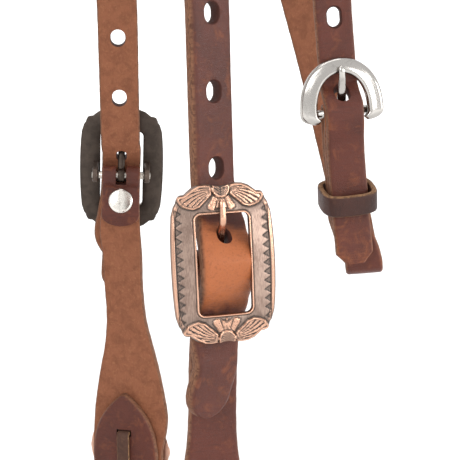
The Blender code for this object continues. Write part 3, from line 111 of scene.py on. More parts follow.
@dataclass
class Painter:
    """A material under construction, with shorthands for its few kinds of step."""

    name: str
    material: Material = field(init=False)
    tree: NodeTree = field(init=False)
    shader: Node = field(init=False)

    def __post_init__(self) -> None:
        """Starts the material with one Principled shader."""
        self.material = bpy.data.materials.new(self.name)
        self.material.use_nodes = True
        self.tree = self.material.node_tree
        self.shader = self.tree.nodes["Principled BSDF"]

    def node(self, kind: str, links: dict | None = None, **settings) -> Node:
        """Adds a node to the material."""
        return add(self.tree, kind, links, **settings)

    def value(self, name: str) -> NodeSocket:
        """The number stored on the mesh under a name."""
        return self.node("ShaderNodeAttribute", attribute_name=name).outputs["Fac"]

    def place(self) -> NodeSocket:
        """Place on the object, in metres."""
        return self.node("ShaderNodeTexCoord").outputs["Object"]

    def math(self, how: str, one, two=0.0, clamp: bool = False) -> NodeSocket:
        """One sum of two values."""
        return self.node("ShaderNodeMath", {0: one, 1: two}, operation=how, use_clamp=clamp).outputs[0]

    def spread(self, source, low: float, high: float, to_low: float = 0.0,
               to_high: float = 1.0) -> NodeSocket:
        """A value mapped from one range to another, and kept in it."""
        return self.node("ShaderNodeMapRange", {0: source, 1: low, 2: high, 3: to_low, 4: to_high},
                         interpolation_type="SMOOTHSTEP").outputs[0]

    def mix(self, share, one, two) -> NodeSocket:
        """Two colours, mixed by a share."""
        return self.node("ShaderNodeMix", {0: share, 6: one, 7: two}, data_type="RGBA").outputs[2]

    def stain(self, tone, source, low: float, high: float, share: float, colour: str) -> NodeSocket:
        """A tone with up to a share of a colour over it, where a pattern rises from low to high."""
        return self.mix(self.spread(source, low, high, to_high=share), tone, srgb(colour))

    def blend(self, share, one: float, two: float) -> NodeSocket:
        """Two numbers, mixed by a share."""
        return self.node("ShaderNodeMapRange", {0: share, 1: 0.0, 2: 1.0, 3: one, 4: two}).outputs[0]

    def noise(self, at, per_mm: float, detail: float = 3.0, rough: float = 0.55,
              warp: float = 0.0) -> NodeSocket:
        """Cloudy variation, so many blotches to the millimetre."""
        return self.node("ShaderNodeTexNoise", {"Vector": at, "Scale": per_mm / MM, "Detail": detail,
                                                "Roughness": rough, "Distortion": warp}).outputs["Fac"]

    def stretch(self, at, scale: Sequence[float]) -> NodeSocket:
        """A place with its axes scaled."""
        return self.node("ShaderNodeMapping", {"Vector": at, "Scale": tuple(scale)}).outputs[0]

    def bump(self, height, depth_mm: float, strength: float = 1.0, normal=None) -> NodeSocket:
        """A surface raised by a height.

        Args:
            height: Source of the height.
            depth_mm: What a height of 1 stands for.
            strength: Share of the effect.
            normal: A surface to start from, or none.

        Returns:
            The bent normal.
        """
        links = {"Height": height, "Distance": depth_mm * MM, "Strength": strength}
        if normal is not None:
            links["Normal"] = normal
        return self.node("ShaderNodeBump", links).outputs[0]

    def wear(self, **sockets) -> Material:
        """Sets the shader's sockets by name, with spaces for underscores.

        Args:
            sockets: A value or a source socket for each of the shader's inputs.

        Returns:
            The finished material.
        """
        for name, source in sockets.items():
            socket = self.shader.inputs[name.replace("_", " ")]
            if isinstance(source, NodeSocket):
                self.tree.links.new(source, socket)
            else:
                socket.default_value = source
        return self.material


@dataclass(frozen=True)
class LeatherFinish:
    """Vegetable-tanned bridle leather: waxed grain, loose flesh side, cut and rubbed edges.

    The grain is tight with fine creases across the strap; the flesh is felted and mottled; the
    edge shows the pale core under smeared dye. The pores are drawn at 0.5 mm, coarser than the
    real 0.15 mm, so that they show at all.
    """

    name: str
    grain: str = "#5a2b1f"
    grain_dark: str = "#422018"
    grain_worn: str = "#ab6239"
    flesh: str = "#8b563b"
    flesh_dark: str = "#6c3f2b"
    flesh_pale: str = "#a5714e"
    edge: str = "#8a5f46"
    edge_dark: str = "#583728"
    gloss: float = 0.40
    coat: float = 0.04

    def make(self) -> Material:
        """The leather's material.

        Returns:
            A material that reads the strap's own maps: along and across it, which side a point
            is on, and how worn it is; a wear below zero marks cut walls, which get painted shade.
        """
        p = Painter(self.name)
        run = p.node("ShaderNodeUVMap", uv_map="strap").outputs[0]
        lie = p.node("ShaderNodeSeparateXYZ", {0: p.node("ShaderNodeUVMap", uv_map="lie").outputs[0]})
        side, worn = lie.outputs[0], lie.outputs[1]
        at = p.place()
        grainy = p.spread(side, 0.05, 0.75)
        fleshy = p.spread(side, -0.05, -0.75)
        cloud, patch = p.noise(at, 0.055, 4, 0.6), p.noise(at, 0.22, 5, 0.62, 0.6)
        fine = p.noise(at, 1.3, 3, 0.6)
        crease = p.noise(p.stretch(run, (3.2, 0.45, 1.0)), 0.42, 4, 0.62, 0.8)
        pores = p.node("ShaderNodeTexVoronoi", {"Vector": at, "Scale": 1.6 / MM, "Randomness": 1.0},
                       feature="DISTANCE_TO_EDGE").outputs["Distance"]
        # Grain side
        tone = p.stain(srgb(self.grain), cloud, 0.38, 0.66, 0.70, self.grain_dark)
        tone = p.stain(tone, patch, 0.50, 0.74, 0.26, self.grain_worn)
        tone = p.stain(tone, crease, 0.52, 0.70, 0.46, self.grain_dark)
        tone = p.stain(tone, fine, 0.60, 0.76, 0.22, self.grain_worn)
        uneven = p.math("ADD", p.math("MULTIPLY", p.math("SUBTRACT", patch, 0.5), 0.55),
                        p.math("MULTIPLY", p.math("SUBTRACT", crease, 0.5), 0.5))
        tone = p.stain(tone, p.math("ADD", worn, uneven), 0.30, 1.05, 1.0, self.grain_worn)
        tone = p.stain(tone, fine, 0.50, 0.72, 0.30, self.grain_dark)
        # Flesh side
        fibre = p.noise(p.stretch(run, (0.5, 1.6, 1.0)), 1.1, 4, 0.75, 0.5)
        mottle = p.stain(srgb(self.flesh), patch, 0.40, 0.68, 0.55, self.flesh_dark)
        mottle = p.stain(mottle, p.noise(at, 0.75, 5, 0.7, 0.2), 0.50, 0.74, 0.45, self.flesh_pale)
        mottle = p.stain(mottle, fibre, 0.48, 0.72, 0.40, self.flesh_dark)
        # Cut edge, painted dark as shade on the walls of holes and slots
        streak = p.noise(p.stretch(run, (1.0, 5.0, 1.0)), 0.6, 4, 0.7, 0.6)
        cut = p.stain(srgb(self.edge), streak, 0.38, 0.64, 1.0, self.edge_dark)
        # Painted shade: the walls of holes and slots, marked by a wear below zero, are stained dark
        cut = p.stain(cut, worn, -0.1, -0.9, 1.0, self.grain_dark)
        colour = p.mix(fleshy, p.mix(grainy, cut, tone), mottle)
        rough = p.blend(grainy, 0.74, self.gloss)
        rough = p.math("ADD", rough, p.math("MULTIPLY", p.math("SUBTRACT", patch, 0.5), 0.35), True)
        height = p.math("ADD", p.spread(pores, 0.0, 0.16, to_high=0.35),
                        p.math("ADD", p.math("MULTIPLY", crease, 0.9), p.math("MULTIPLY", fine, 0.5)))
        felt = p.math("ADD", p.math("MULTIPLY", fibre, 1.3), p.math("MULTIPLY", fine, 1.2))
        height = p.node("ShaderNodeMix", {0: fleshy, 2: height, 3: felt}, data_type="FLOAT").outputs[0]
        return p.wear(Base_Color=colour, Roughness=rough, Normal=p.bump(height, 0.16),
                      Coat_Weight=self.coat, Coat_Roughness=0.34, Specular_IOR_Level=0.28, IOR=1.5)


@dataclass(frozen=True)
class CopperFinish:
    """Copper-plated cast white metal, hand-engraved, antiqued black and rubbed back.

    High places are bright and pink, the field is a brushed greyed copper, and the cuts stay
    black. The frame's back is darker, its unpolished metal with painted shade; the tongues carry a
    painted highlight on top and painted shade below. The brushing is drawn at 0.25 mm, coarser than the real
    0.05 mm.
    """

    name: str
    bright: str = "#d6a78d"
    field: str = "#a08a7d"
    field_dark: str = "#7e695f"
    patina: str = "#1d1917"
    back: str = "#4d433c"

    def make(self) -> Material:
        """The copper's material.

        Returns:
            A material that reads the mesh's own values: cut, shine and back. Back carries painted
            shade as well, and on the tongues shine is a painted highlight.
        """
        p = Painter(self.name)
        at = p.place()
        cut, shine, back = p.value("cut"), p.value("shine"), p.value("back")
        lines = p.noise(p.stretch(at, (1.0, 1.0, 0.05)), 4.0, 2, 0.6)
        cloud = p.noise(at, 0.24, 4, 0.6, 0.3)
        brushed = p.math("ADD", p.math("MULTIPLY", lines, 0.5), p.math("MULTIPLY", cloud, 0.5))
        tone = p.stain(srgb(self.field), brushed, 0.38, 0.64, 1.0, self.field_dark)
        # Shine: real polish on the frame's high places, a painted highlight on the tongues
        tone = p.mix(shine, tone, srgb(self.bright))
        specks = p.spread(p.noise(at, 1.4, 4, 0.7), 0.58, 0.8, to_high=0.15)
        dirt = p.math("ADD", cut, specks, True)
        tone = p.mix(dirt, tone, srgb(self.patina))
        # The back tone: painted shade on the frame's back and lugs and on the tongues' undersides, with the
        # frame's unpolished back
        tone = p.mix(back, tone, p.stain(srgb(self.back), cloud, 0.38, 0.66, 0.35, self.patina))
        metal = p.blend(dirt, 1.0, 0.15)
        rough = p.math("ADD", p.blend(shine, 0.33, 0.22), p.math("MULTIPLY", dirt, 0.3), True)
        rough = p.math("ADD", rough, p.math("MULTIPLY", back, 0.10), True)
        return p.wear(Base_Color=tone, Metallic=metal, Roughness=rough,
                      Normal=p.bump(p.math("ADD", lines, p.math("MULTIPLY", cloud, 0.6)), 0.03))


class Plating(Enum):
    """Bright metals of the small hardware."""

    NICKEL = ("polished_nickel", "#b6b2ad", "#98948e", 0.15)
    PIN_STEEL = ("satin_steel", "#c4bdb4", "#857d74", 0.28)
    SCREW_NICKEL = ("turned_nickel", "#e2ddd5", "#a59f95", 0.20)
    CONCHO = ("antique_concho", "#c9a08c", "#4d3a33", 0.34)


@dataclass(frozen=True)
class PlatedFinish:
    """Plated metal, polished on a wheel: faint hairlines, and tarnish where fingers don't rub."""

    plating: Plating

    def make(self) -> Material:
        """The plated metal's material."""
        name, bright, tarnish, rough = self.plating.value
        p = Painter(name)
        at = p.place()
        cloud = p.noise(at, 0.35, 4, 0.65, 0.5)
        fine = p.noise(p.stretch(at, (1.0, 3.0, 0.3)), 2.2, 3, 0.6)
        return p.wear(Base_Color=p.stain(srgb(bright), cloud, 0.50, 0.76, 0.6, tarnish), Metallic=1.0,
                      Roughness=p.spread(cloud, 0.4, 0.8, rough, rough + 0.07), Normal=p.bump(fine, 0.008))


@dataclass(frozen=True)
class ThreadFinish:
    """Waxed linen thread, two plies twisted."""

    name: str
    colour: str = "#c9a77c"
    dark: str = "#7b5a3d"

    def make(self) -> Material:
        """The thread's material."""
        p = Painter(self.name)
        twist = p.noise(p.place(), 2.4, 3, 0.7)
        tone = p.stain(srgb(self.colour), twist, 0.4, 0.65, 1.0, self.dark)
        return p.wear(Base_Color=tone, Roughness=0.6, Normal=p.bump(twist, 0.05))


# Curves

def unit(rows: Array) -> Array:
    """Rows scaled to length one."""
    return rows / np.linalg.norm(rows, axis=-1, keepdims=True)


def lengths(places: Array) -> Array:
    """Distance along a line to each of its points."""
    return np.concatenate([[0], np.cumsum(np.linalg.norm(np.diff(places, axis=0), axis=1))])


def directions(count: int, first: float = 0.0) -> list[float]:
    """Even directions round a full turn in radians, from a share of the first step on."""
    return [2 * math.pi * (i + first) / count for i in range(count)]


def steady(knots: Array, values: Array, at: Array) -> Array:
    """A smooth run through values at knots that never swings past them.

    Args:
        knots: Growing places of the values.
        values: One row for each knot.
        at: Places to read.

    Returns:
        One row for each place read.
    """
    span = np.diff(knots)
    rise = np.diff(values, axis=0) / span[:, None]
    slope = np.zeros_like(values)
    slope[0], slope[-1] = rise[0], rise[-1]
    wide, narrow = (2 * span[1:] + span[:-1])[:, None], (span[1:] + 2 * span[:-1])[:, None]
    same = rise[:-1] * rise[1:] > 0
    before, after = np.where(same, rise[:-1], 1.0), np.where(same, rise[1:], 1.0)
    slope[1:-1] = np.where(same, (wide + narrow) / (wide / before + narrow / after), 0.0)
    at = np.clip(at, knots[0], knots[-1])
    cell = np.clip(np.searchsorted(knots, at, side="right") - 1, 0, len(span) - 1)
    width = span[cell][:, None]
    share = ((at - knots[cell])[:, None]) / width
    cube, square = share ** 3, share ** 2
    return ((2 * cube - 3 * square + 1) * values[cell] + (cube - 2 * square + share) * width * slope[cell]
            + (3 * square - 2 * cube) * values[cell + 1] + (cube - square) * width * slope[cell + 1])


def ripple(at: Array, length: float, seed: float) -> Array:
    """A gentle irregular wave between about -1 and 1.

    Args:
        at: Places along the wave, in millimetres.
        length: Its longest swell, in millimetres.
        seed: Shifts the wave.

    Returns:
        Its height at each place.
    """
    turn = 2 * math.pi * np.asarray(at) / length
    swells = ((1.0, 1.0, 1.0), (0.6, 2.31, 2.7), (0.35, 5.17, 4.1))
    return sum(size * np.sin(faster * turn + shift * seed) for size, faster, shift in swells) / 1.95


class Track:
    """The middle line of a leather strip, with its facing, width and thickness."""

    def __init__(self, line: Line, closed: bool = False) -> None:
        """Fits the line.

        Args:
            line: Knots of place, facing, width and thickness, in millimetres.
            closed: Whether the last knot is the first again.
        """
        rows = np.array(line, float)
        if closed:
            rows = np.vstack([rows[-3:-1], rows, rows[1:3]])
        place = rows[:, :3]
        chord = lengths(place)
        first, last = (chord[2], chord[-3]) if closed else (chord[0], chord[-1])
        fine = np.linspace(first, last, 2400)
        read = steady(chord, rows, fine)
        self.closed = closed
        self.place = read[:, :3]
        ahead = np.gradient(self.place, axis=0)
        if closed:
            ahead[0] = ahead[-1] = (self.place[1] - self.place[-2]) / 2
        self.ahead = unit(ahead)
        face = read[:, 3:6]
        self.face = unit(face - (face * self.ahead).sum(1)[:, None] * self.ahead)
        self.side = np.cross(self.ahead, self.face)
        self.width, self.thick = read[:, 6], read[:, 7]
        self.run = lengths(self.place)

    def near(self, point: Sequence[float]) -> float:
        """Distance along the strip at which it passes closest to a point."""
        return float(self.run[np.argmin(((self.place - np.asarray(point)) ** 2).sum(1))])

    def frame(self, run: float) -> Matrix:
        """The strip's own frame at a distance: X along, Y across, Z out of the grain side.

        Args:
            run: Distance along the strip, in millimetres.

        Returns:
            The frame, in millimetres.
        """
        i = int(np.clip(np.searchsorted(self.run, run), 0, len(self.run) - 1))
        made = Matrix((self.ahead[i], -self.side[i], self.face[i])).transposed().to_4x4()
        made.translation = self.place[i]
        return made

    def stations(self, step: float, dense: Iterable[tuple[float, float]]) -> list[int]:
        """Where the rings stand.

        Args:
            step: Longest distance between rings, in millimetres.
            dense: Stretches, from and to, in which the rings stand four times closer.

        Returns:
            Indices of the fine line.
        """
        picked, since, turned = [0], 0.0, 0.0
        for i in range(1, len(self.run)):
            turned += math.acos(min(1.0, float(self.ahead[i] @ self.ahead[i - 1])))
            gone = self.run[i] - since
            near = any(a <= self.run[i] <= b for a, b in dense)
            if gone >= (step / 4 if near else step) or (turned > 0.10 and gone > 0.22):
                picked.append(i)
                since, turned = self.run[i], 0.0
        if picked[-1] != len(self.run) - 1:
            picked.append(len(self.run) - 1)
        return picked


def mesh_object(name: str, mesh: Mesh, material: Material | None) -> Object:
    """An object at the origin for a finished mesh.

    Args:
        name: The object's name.
        mesh: Its mesh.
        material: Its finish, or none.

    Returns:
        The object, linked to the scene.
    """
    made = bpy.data.objects.new(name, mesh)
    if material is not None:
        mesh.materials.append(material)
    bpy.context.scene.collection.objects.link(made)
    return made


def shade(piece: Object, sharp: float) -> Object:
    """Shades a piece smooth; edges turning more than so many degrees stay crisp."""
    piece.data.shade_smooth()
    piece.data.set_sharp_from_angle(angle=math.radians(sharp))
    return piece


def settle(piece: Object, body: str, slot: str, *nodes: str) -> Object:
    """Makes a piece ride on its body, in place of its nodes.

    Args:
        piece: The finished piece.
        body: The body that it rides on.
        slot: Its material slot; not used.
        nodes: The model's nodes that it stands for.

    Returns:
        The piece.
    """
    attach(piece, body)
    if nodes:
        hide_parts(*nodes)
    LOG.info("%s: %d faces, on %s", piece.name, len(piece.data.polygons), body)
    return piece


def oval(length: float, width: float, count: int = 28) -> list[tuple[float, float]]:
    """A slot's outline: two half circles joined by straight sides.

    Args:
        length: Length along X.
        width: Width along Y.
        count: Number of points.

    Returns:
        The points, one after the other.
    """
    radius = min(length, width) / 2
    turns = [(math.cos(a), math.sin(a)) for a in directions(count, 0.5)]
    return [(radius * c + math.copysign(length / 2 - radius, c),
             radius * s + math.copysign(width / 2 - radius, s)) for c, s in turns]


class Cutter:
    """Closed shapes that are cut out of leather; their walls show the cut edge, painted dark as shade inside
    the cut.
    """

    def __init__(self) -> None:
        """Starts with no shape."""
        self.model = bmesh.new()
        self.maps = [self.model.loops.layers.uv.new(name) for name in ("strap", "lie")]

    def loft(self, frame: Matrix, outline: Sequence[tuple[float, float]],
             levels: Sequence[tuple[float, float]]) -> None:
        """Adds a prism whose outline grows from level to level.

        Args:
            frame: Where it stands, in millimetres.
            outline: Its outline in the frame's X and Y.
            levels: Heights along Z, each with the outline's growth there.
        """
        rows = []
        for height, grow in levels:
            row = []
            for x, y in outline:
                far = math.hypot(x, y)
                spot = frame @ Vector((x * (1 + grow / far), y * (1 + grow / far), height))
                row.append(self.model.verts.new(spot * MM))
            rows.append(row)
        faces = [self.model.faces.new(list(reversed(rows[0]))), self.model.faces.new(rows[-1])]
        for one, two in zip(rows, rows[1:]):
            for i in range(len(one)):
                k = (i + 1) % len(one)
                faces.append(self.model.faces.new((one[i], one[k], two[k], two[i])))
        bmesh.ops.recalc_face_normals(self.model, faces=faces)

    def block(self, frame: Matrix, size: Sequence[float], centre: Sequence[float]) -> None:
        """Adds a box of a size about a centre in a frame.

        Args:
            frame: Where it stands, in millimetres.
            size: Its size along the frame's axes.
            centre: Its middle in the frame.
        """
        a, b, c = (v / 2 for v in size)
        x, y, z = centre
        corners = [(x + a, y + b), (x - a, y + b), (x - a, y - b), (x + a, y - b)]
        self.loft(frame, corners, ((z - c, 0.0), (z + c, 0.0)))

    def cut(self, piece: Object) -> None:
        """Cuts the shapes out of a piece and clears the tools away.

        Args:
            piece: What the shapes are cut out of.
        """
        for face in self.model.faces:
            for loop in face.loops:
                loop[self.maps[0]].uv = (loop.vert.co.x + loop.vert.co.y, loop.vert.co.z)
                # Edge side and a wear of -1, which the leather turns into painted shade on the cut walls
                loop[self.maps[1]].uv = (0.0, -1.0)
        mesh = bpy.data.meshes.new("cut")
        self.model.to_mesh(mesh)
        self.model.free()
        tool = mesh_object("cut", mesh, None)
        modifier = piece.modifiers.new("cut", "BOOLEAN")
        modifier.operation, modifier.solver, modifier.object = "DIFFERENCE", "EXACT", tool
        shaped = bpy.data.meshes.new_from_object(piece.evaluated_get(
            bpy.context.evaluated_depsgraph_get()))
        piece.modifiers.clear()
        old = piece.data
        piece.data = shaped
        bpy.data.meshes.remove(old)
        bpy.data.objects.remove(tool)
        bpy.data.meshes.remove(mesh)


@dataclass
class Tip:
    """The end of a strap: its length, whether it is the last or the first end, and how blunt it is.

    The bluntness is the share of the width left at the very end. Above the clipped share, the
    corners are cut off straight and not rounded.
    """

    length: float
    last: bool
    blunt: float = 0.06
    clipped: float = 1 / 3

    def width(self, runs: Array, end: float) -> Array:
        """Share of the full width that the tip leaves.

        Args:
            runs: Distances along the strip.
            end: The strip's length.

        Returns:
            The share at each distance.
        """
        share = np.clip(1 - ((end - runs) if self.last else runs) / self.length, 0, 1)
        if self.blunt > self.clipped:
            return 1 - (1 - self.blunt) * share
        return np.maximum(np.sqrt(np.maximum(1 - share ** 2, 0)), self.blunt)


@dataclass
class Strap:
    """A cut leather strip with rubbed edges, bent along its line."""

    name: str
    line: Line
    tips: tuple[Tip, ...] = ()
    closed: bool = False
    step: float = 0.95
    wear: tuple[tuple[float, float], ...] = ((0.0, 0.1),)
    rub: float = 0.30
    seed: float = 1.0
    wobble: float = 0.10
    moulding: tuple[tuple[float, float, float, float, float], ...] = ((0.0, 0.0, 0.0, 0.0, 0.0),)
    track: Track = field(init=False)

    def __post_init__(self) -> None:
        """Fits the strap's line."""
        self.track = Track(self.line, self.closed)

    def moulded(self, run: Array) -> Array:
        """How use has shaped the leather: outward, toward the front, wider and thicker.

        Args:
            run: Distances along the strip, in millimetres.

        Returns:
            One row of the four for each distance, in millimetres.
        """
        rows = np.array(self.moulding, float)
        if len(rows) == 1:
            return np.repeat(rows[:, 1:], len(run), axis=0)
        return steady(rows[:, 0], rows[:, 1:], np.asarray(run, float))

    def section(self, wide: float, thick: float) -> list[tuple[float, float, float, float]]:
        """One cross-section.

        Args:
            wide: Half the width.
            thick: Half the thickness.

        Returns:
            Points of across, out, which side (1 grain, 0 edge, -1 flesh) and place round it.
        """
        top, low = min(thick * 0.8, wide * 0.8), min(thick * 0.45, wide * 0.5)
        half: list[tuple[float, float, float]] = []
        for share in (0.0, 0.25, 0.5, 0.72, 0.88):
            half.append(((wide - top) * share, thick * (1 + 0.02 * (1 - share)), 1.0))
        for degrees in (90, 68, 45, 22, 0):
            a = math.radians(degrees)
            half.append((wide - top + top * math.cos(a), thick - top + top * math.sin(a),
                         max(0.0, (degrees - 12) / 78)))
        for degrees in (0, -45, -90):
            a = math.radians(degrees)
            half.append((wide - low + low * math.cos(a), -thick + low + low * math.sin(a),
                         -1.0 if degrees == -90 else 0.0))
        for share in (0.85, 0.5, 0.2):
            half.append(((wide - low) * share, -thick, -1.0))
        whole = half + [(-x, y, side) for x, y, side in reversed(half) if x > 0]
        return [(x, y, side, x + 0.7 * y) for x, y, side in whole]

    def mesh(self) -> Mesh:
        """The strip's mesh, with its two maps.

        Returns:
            A closed mesh in metres. The strap map holds the distance along and round it, the lie
            map the side and the wear.
        """
        track = self.track
        end = track.run[-1]
        dense = [(end - t.length, end) if t.last else (0.0, t.length) for t in self.tips]
        rings = track.stations(self.step, dense)
        if self.closed:
            rings = rings[:-1]
        runs = track.run[rings]
        grow = np.prod([np.ones(len(runs)), *(tip.width(runs, end) for tip in self.tips)], axis=0)
        worn = np.interp(runs, [w[0] for w in self.wear], [w[1] for w in self.wear])
        loose = self.wobble * ripple(runs, 37.0, self.seed)
        swell = 0.5 * self.wobble * ripple(runs, 21.0, self.seed + 2)
        left_edge = 0.6 * self.wobble * ripple(runs, 7.3, self.seed + 4)
        right_edge = 0.6 * self.wobble * ripple(runs, 6.1, self.seed + 6)
        verts, maps = [], []
        mould = self.moulded(runs)
        for j, i in enumerate(rings):
            outward, forward, wider, thicker = mould[j]
            middle = track.place[i] + outward * track.face[i] + forward * track.side[i]
            wide = max((track.width[i] + wider) / 2 * grow[j] + 0.4 * loose[j], 0.3)
            thick = (track.thick[i] + thicker) / 2 * (1 - 0.25 * (1 - grow[j]))
            for x, y, side, rim in self.section(wide, thick):
                fringe = max(0.0, abs(x) / wide - 0.86) / 0.14
                x += fringe * (right_edge[j] if x > 0 else left_edge[j])
                y += swell[j] * 0.35 if side > 0.5 else 0
                verts.append((middle + x * track.side[i] + y * track.face[i]) * MM)
                rub = self.rub * fringe if side > 0.2 else 0.0
                maps.append((runs[j] * MM, rim * MM, side, worn[j] + rub))
        count = len(maps) // len(rings)
        faces, loops = [], []
        for one in range(len(rings) if self.closed else len(rings) - 1):
            two = (one + 1) % len(rings)
            for k in range(count):
                n = (k + 1) % count
                face = (one * count + k, one * count + n, two * count + n, two * count + k)
                faces.append(face)
                wraps = two == 0
                loops += [(end * MM, *maps[v][1:]) if wraps and v < count else maps[v] for v in face]
        if not self.closed:
            for ring, order in ((0, range(count - 1, -1, -1)), (len(rings) - 1, range(count))):
                faces.append(tuple(ring * count + k for k in order))
                loops += [(*maps[v][:2], 0.0, 0.0) for v in faces[-1]]
        mesh = bpy.data.meshes.new(self.name)
        mesh.from_pydata([tuple(v) for v in verts], [], faces)
        loops = np.array(loops, np.float32)
        for name, columns in (("strap", loops[:, :2]), ("lie", loops[:, 2:])):
            layer = mesh.uv_layers.new(name=name)
            layer.data.foreach_set("uv", columns.ravel())
        model = bmesh.new()
        model.from_mesh(mesh)
        if model.calc_volume(signed=True) < 0:
            bmesh.ops.reverse_faces(model, faces=model.faces)
        model.to_mesh(mesh)
        model.free()
        return mesh

    def build(self, material: Material, cutters: Sequence[Cutter] = ()) -> Object:
        """The strap with its holes.

        Args:
            material: Its leather.
            cutters: Shapes cut out of it, one after the other.

        Returns:
            The finished object.
        """
        piece = mesh_object(self.name, self.mesh(), material)
        for cutter in cutters:
            cutter.cut(piece)
        return shade(piece, 48)

    def punch(self, run: float, length: float, width: float, cutter: Cutter, follow: bool = True) -> None:
        """Adds one punched hole, with its drawn-in rim, to a cutter.

        Args:
            run: Distance along the strip, in millimetres.
            length: Length of the hole along the strip.
            width: Width of the hole.
            cutter: Where the hole is kept.
            follow: Whether the hole goes along with the leather that use has moved sideways.
        """
        half = float(np.interp(run, self.track.run, self.track.thick)) / 2
        outward, forward = self.moulded(np.array([run]))[0][:2]
        forward = forward if follow else 0.0
        cutter.loft(self.track.frame(run) @ Matrix.Translation((0, -forward, outward)), oval(length, width),
                    ((-half - 0.8, 0.25), (-half, 0.12), (-half + 0.5, 0.0), (half - 0.7, 0.0),
                     (half - 0.15, 0.22), (half + 0.06, 0.5), (half + 0.8, 0.9)))


# Sizes in metres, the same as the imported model's

DROP = 0.230                 # poll to the buckle pins
HALF_SPAN = 0.0662           # middle plane to a buckle pin
SEAT = 0.0003                # gap between pieces that touch
STRAP_W, STRAP_T = 0.0162, 0.0042
TAIL_LEN = 0.053             # strap end below the pin
HOLE_PITCH = 0.0254
HOLE_W, HOLE_L, HOLES = 0.0060, 0.0070, 6
POLL_FLAT = 0.012            # straight piece over the poll
CROWN_LEAN = 0.0010          # how far the billet stands off the frame's own line, high up
FRAME_W, FRAME_H, FRAME_T = 0.0352, 0.0532, 0.0023
OPEN_W, OPEN_H = 0.0180, 0.0334
FRAME_FRONT = 0.0102         # frame face in front of the pin's axis, at mid-height
FRAME_SAG = 0.0016           # how far the ends lie behind the middle
BEAD_H, FAN_H = 0.0003, 0.0005
BUTTON_R = 0.00305
PIN_R, PIN_GAP = 0.0015, 0.0003
TONGUE_W, TONGUE_T = 0.0029, 0.0020
EYE_R = 0.0029
TONGUE_SLOT = 0.0044         # slot in the cheek leather
CHEEK_W, CHEEK_T = 0.0159, 0.0036
FOLD_T, FOLD_END_T = 0.0022, 0.0018    # leather thinned where it wraps the pin
FOLD_LEN = 0.0205            # folded end below the pin
SCREW_DROP = 0.0113          # cheek screw below the pin
SCREW_SLOPE = 0.42           # slant of the leather there
CONCHO_DROP = 0.125          # concho centre below the pin
BIT_LOOP_R = 0.0080          # loop for the bit, to the middle of its leather
BIT_NECK = 0.0150            # from the concho's edge to the loop's centre
TAB_DROP = 0.097             # point of the inner tab below the pin
CHEEK_WIDE, LOOP_W, TAB_WIDE = 0.0320, 0.0220, 0.0292
CONCHO_R, CONCHO_RISE, CONCHO_T = 0.0180, 0.0040, 0.0014
SLIT_OFF, SLIT_W, SLIT_H = 0.0108, 0.0066, 0.0030
LACE_W, LACE_T = 0.0054, 0.0018
LACE_END = 0.050             # lace ends below the concho's centre
LACE_SPREAD = 0.0036
LACE_BEND = 0.0016           # bend into a slit, to the middle of the lace
HEAD_R, HEAD_T, BARREL_R = 0.0050, 0.0010, 0.0024
LEATHER_GAP = 0.0003
SCREW_FLAT = 0.0061          # leather kept straight this far round a cheek screw
THROAT_W, THROAT_T = 0.0132, 0.0030
THROAT_Y = 0.0180            # beside the crown strap at the poll
THROAT_PITCH = 0.0286
THROAT_HOLE_W, THROAT_HOLE_L, THROAT_HOLES = 0.0048, 0.0068, 5
THROAT_X, THROAT_BACK, THROAT_DROP = 0.0530, 0.0495, 0.1850    # its buckle's bar
THROAT_TAIL = 0.0530         # strap end below the bar
SHOE_RISE, SHOE_CROWN, SHOE_T = 0.0190, 0.0054, 0.0026
SHOE_BAR_R = 0.0015
SHOE_BAR_BACK = 0.0012       # bar's axis behind the horseshoe's back
SHOE_TONGUE_W, SHOE_EYE_R = 0.0031, 0.0029
THIN_T = 0.0016              # leather thinned where it wraps the bar
SHOE_FOLD_LEN, SHOE_FOLD_T = 0.047, 0.0024
BOTTOM_R = 0.0034            # fold at the bottom, to the middle of the leather
BOTTOM_DROP = 0.0540         # its centre below the bar
BOTTOM_REAR = 0.0042         # and rearward of it
BOTTOM_TWIST = -12.0
KEEPER_DROP, KEEPER_W, KEEPER_T = 0.0300, 0.0075, 0.0020
KEEPER_GAP, KEEPER_TILT = 0.0006, 14.0
BROW_W, BROW_T, BROW_DROP = 0.0159, 0.0034, 0.062
BROW_DEPTH = 0.115           # forehead in front of the crown strap
BROW_GAP, BROW_ROOM = 0.0005, 0.0048
BROW_SCREW = 0.0215          # screw in front of the loop

BAR_V = (OPEN_H + FRAME_H) / 4              # middle of the buckle's top and bottom bars
BUTTON_V = FRAME_H / 2 * 0.965 - BUTTON_R / 5
FOLD_OUT = PIN_R + PIN_GAP + FOLD_T         # outside of the leather round the pin
PLY_STEP = FOLD_T / 2 + LEATHER_GAP + SEAT + FOLD_END_T / 2
THIN_OUT = SHOE_BAR_R + PIN_GAP + THIN_T
TAIL_OUT = -SHOE_BAR_BACK + THIN_OUT + 2 * SEAT + THROAT_T / 2    # strap over the bar
MAIN_OUT = -SHOE_BAR_BACK - THIN_T / 2                            # layer below the bar
INNER_OUT = MAIN_OUT - THROAT_T / 2 - LEATHER_GAP - SEAT - SHOE_FOLD_T / 2
REST_OUT = MAIN_OUT + THROAT_T + LEATHER_GAP                      # strap end below the bar
BORE = 2 * (BARREL_R + LEATHER_GAP) / MM                          # hole for a screw, in millimetres

# Poll arc beside the middle: shares of half the span and of the drop, and the facing's slope
POLL_SHARES = ((0.20, 0.008, 25), (0.33, 0.045, 48), (0.46, 0.12, 66), (0.56, 0.235, 76), (0.655, 0.36, 82))
# Widening of the cheek toward its bit end, and of the inner tab from its point
WIDEN_SHARES = ((0.30, 0.0), (0.43, 0.0), (0.504, 0.04), (0.584, 0.18), (0.704, 0.555), (0.768, 0.735),
                (0.872, 0.94), (1.0, 1.0))
TAB_SHARES = ((1.0, 1.0), (0.72, 0.94), (0.47, 0.80), (0.25, 0.55), (0.10, 0.29), (0.0, 0.07))
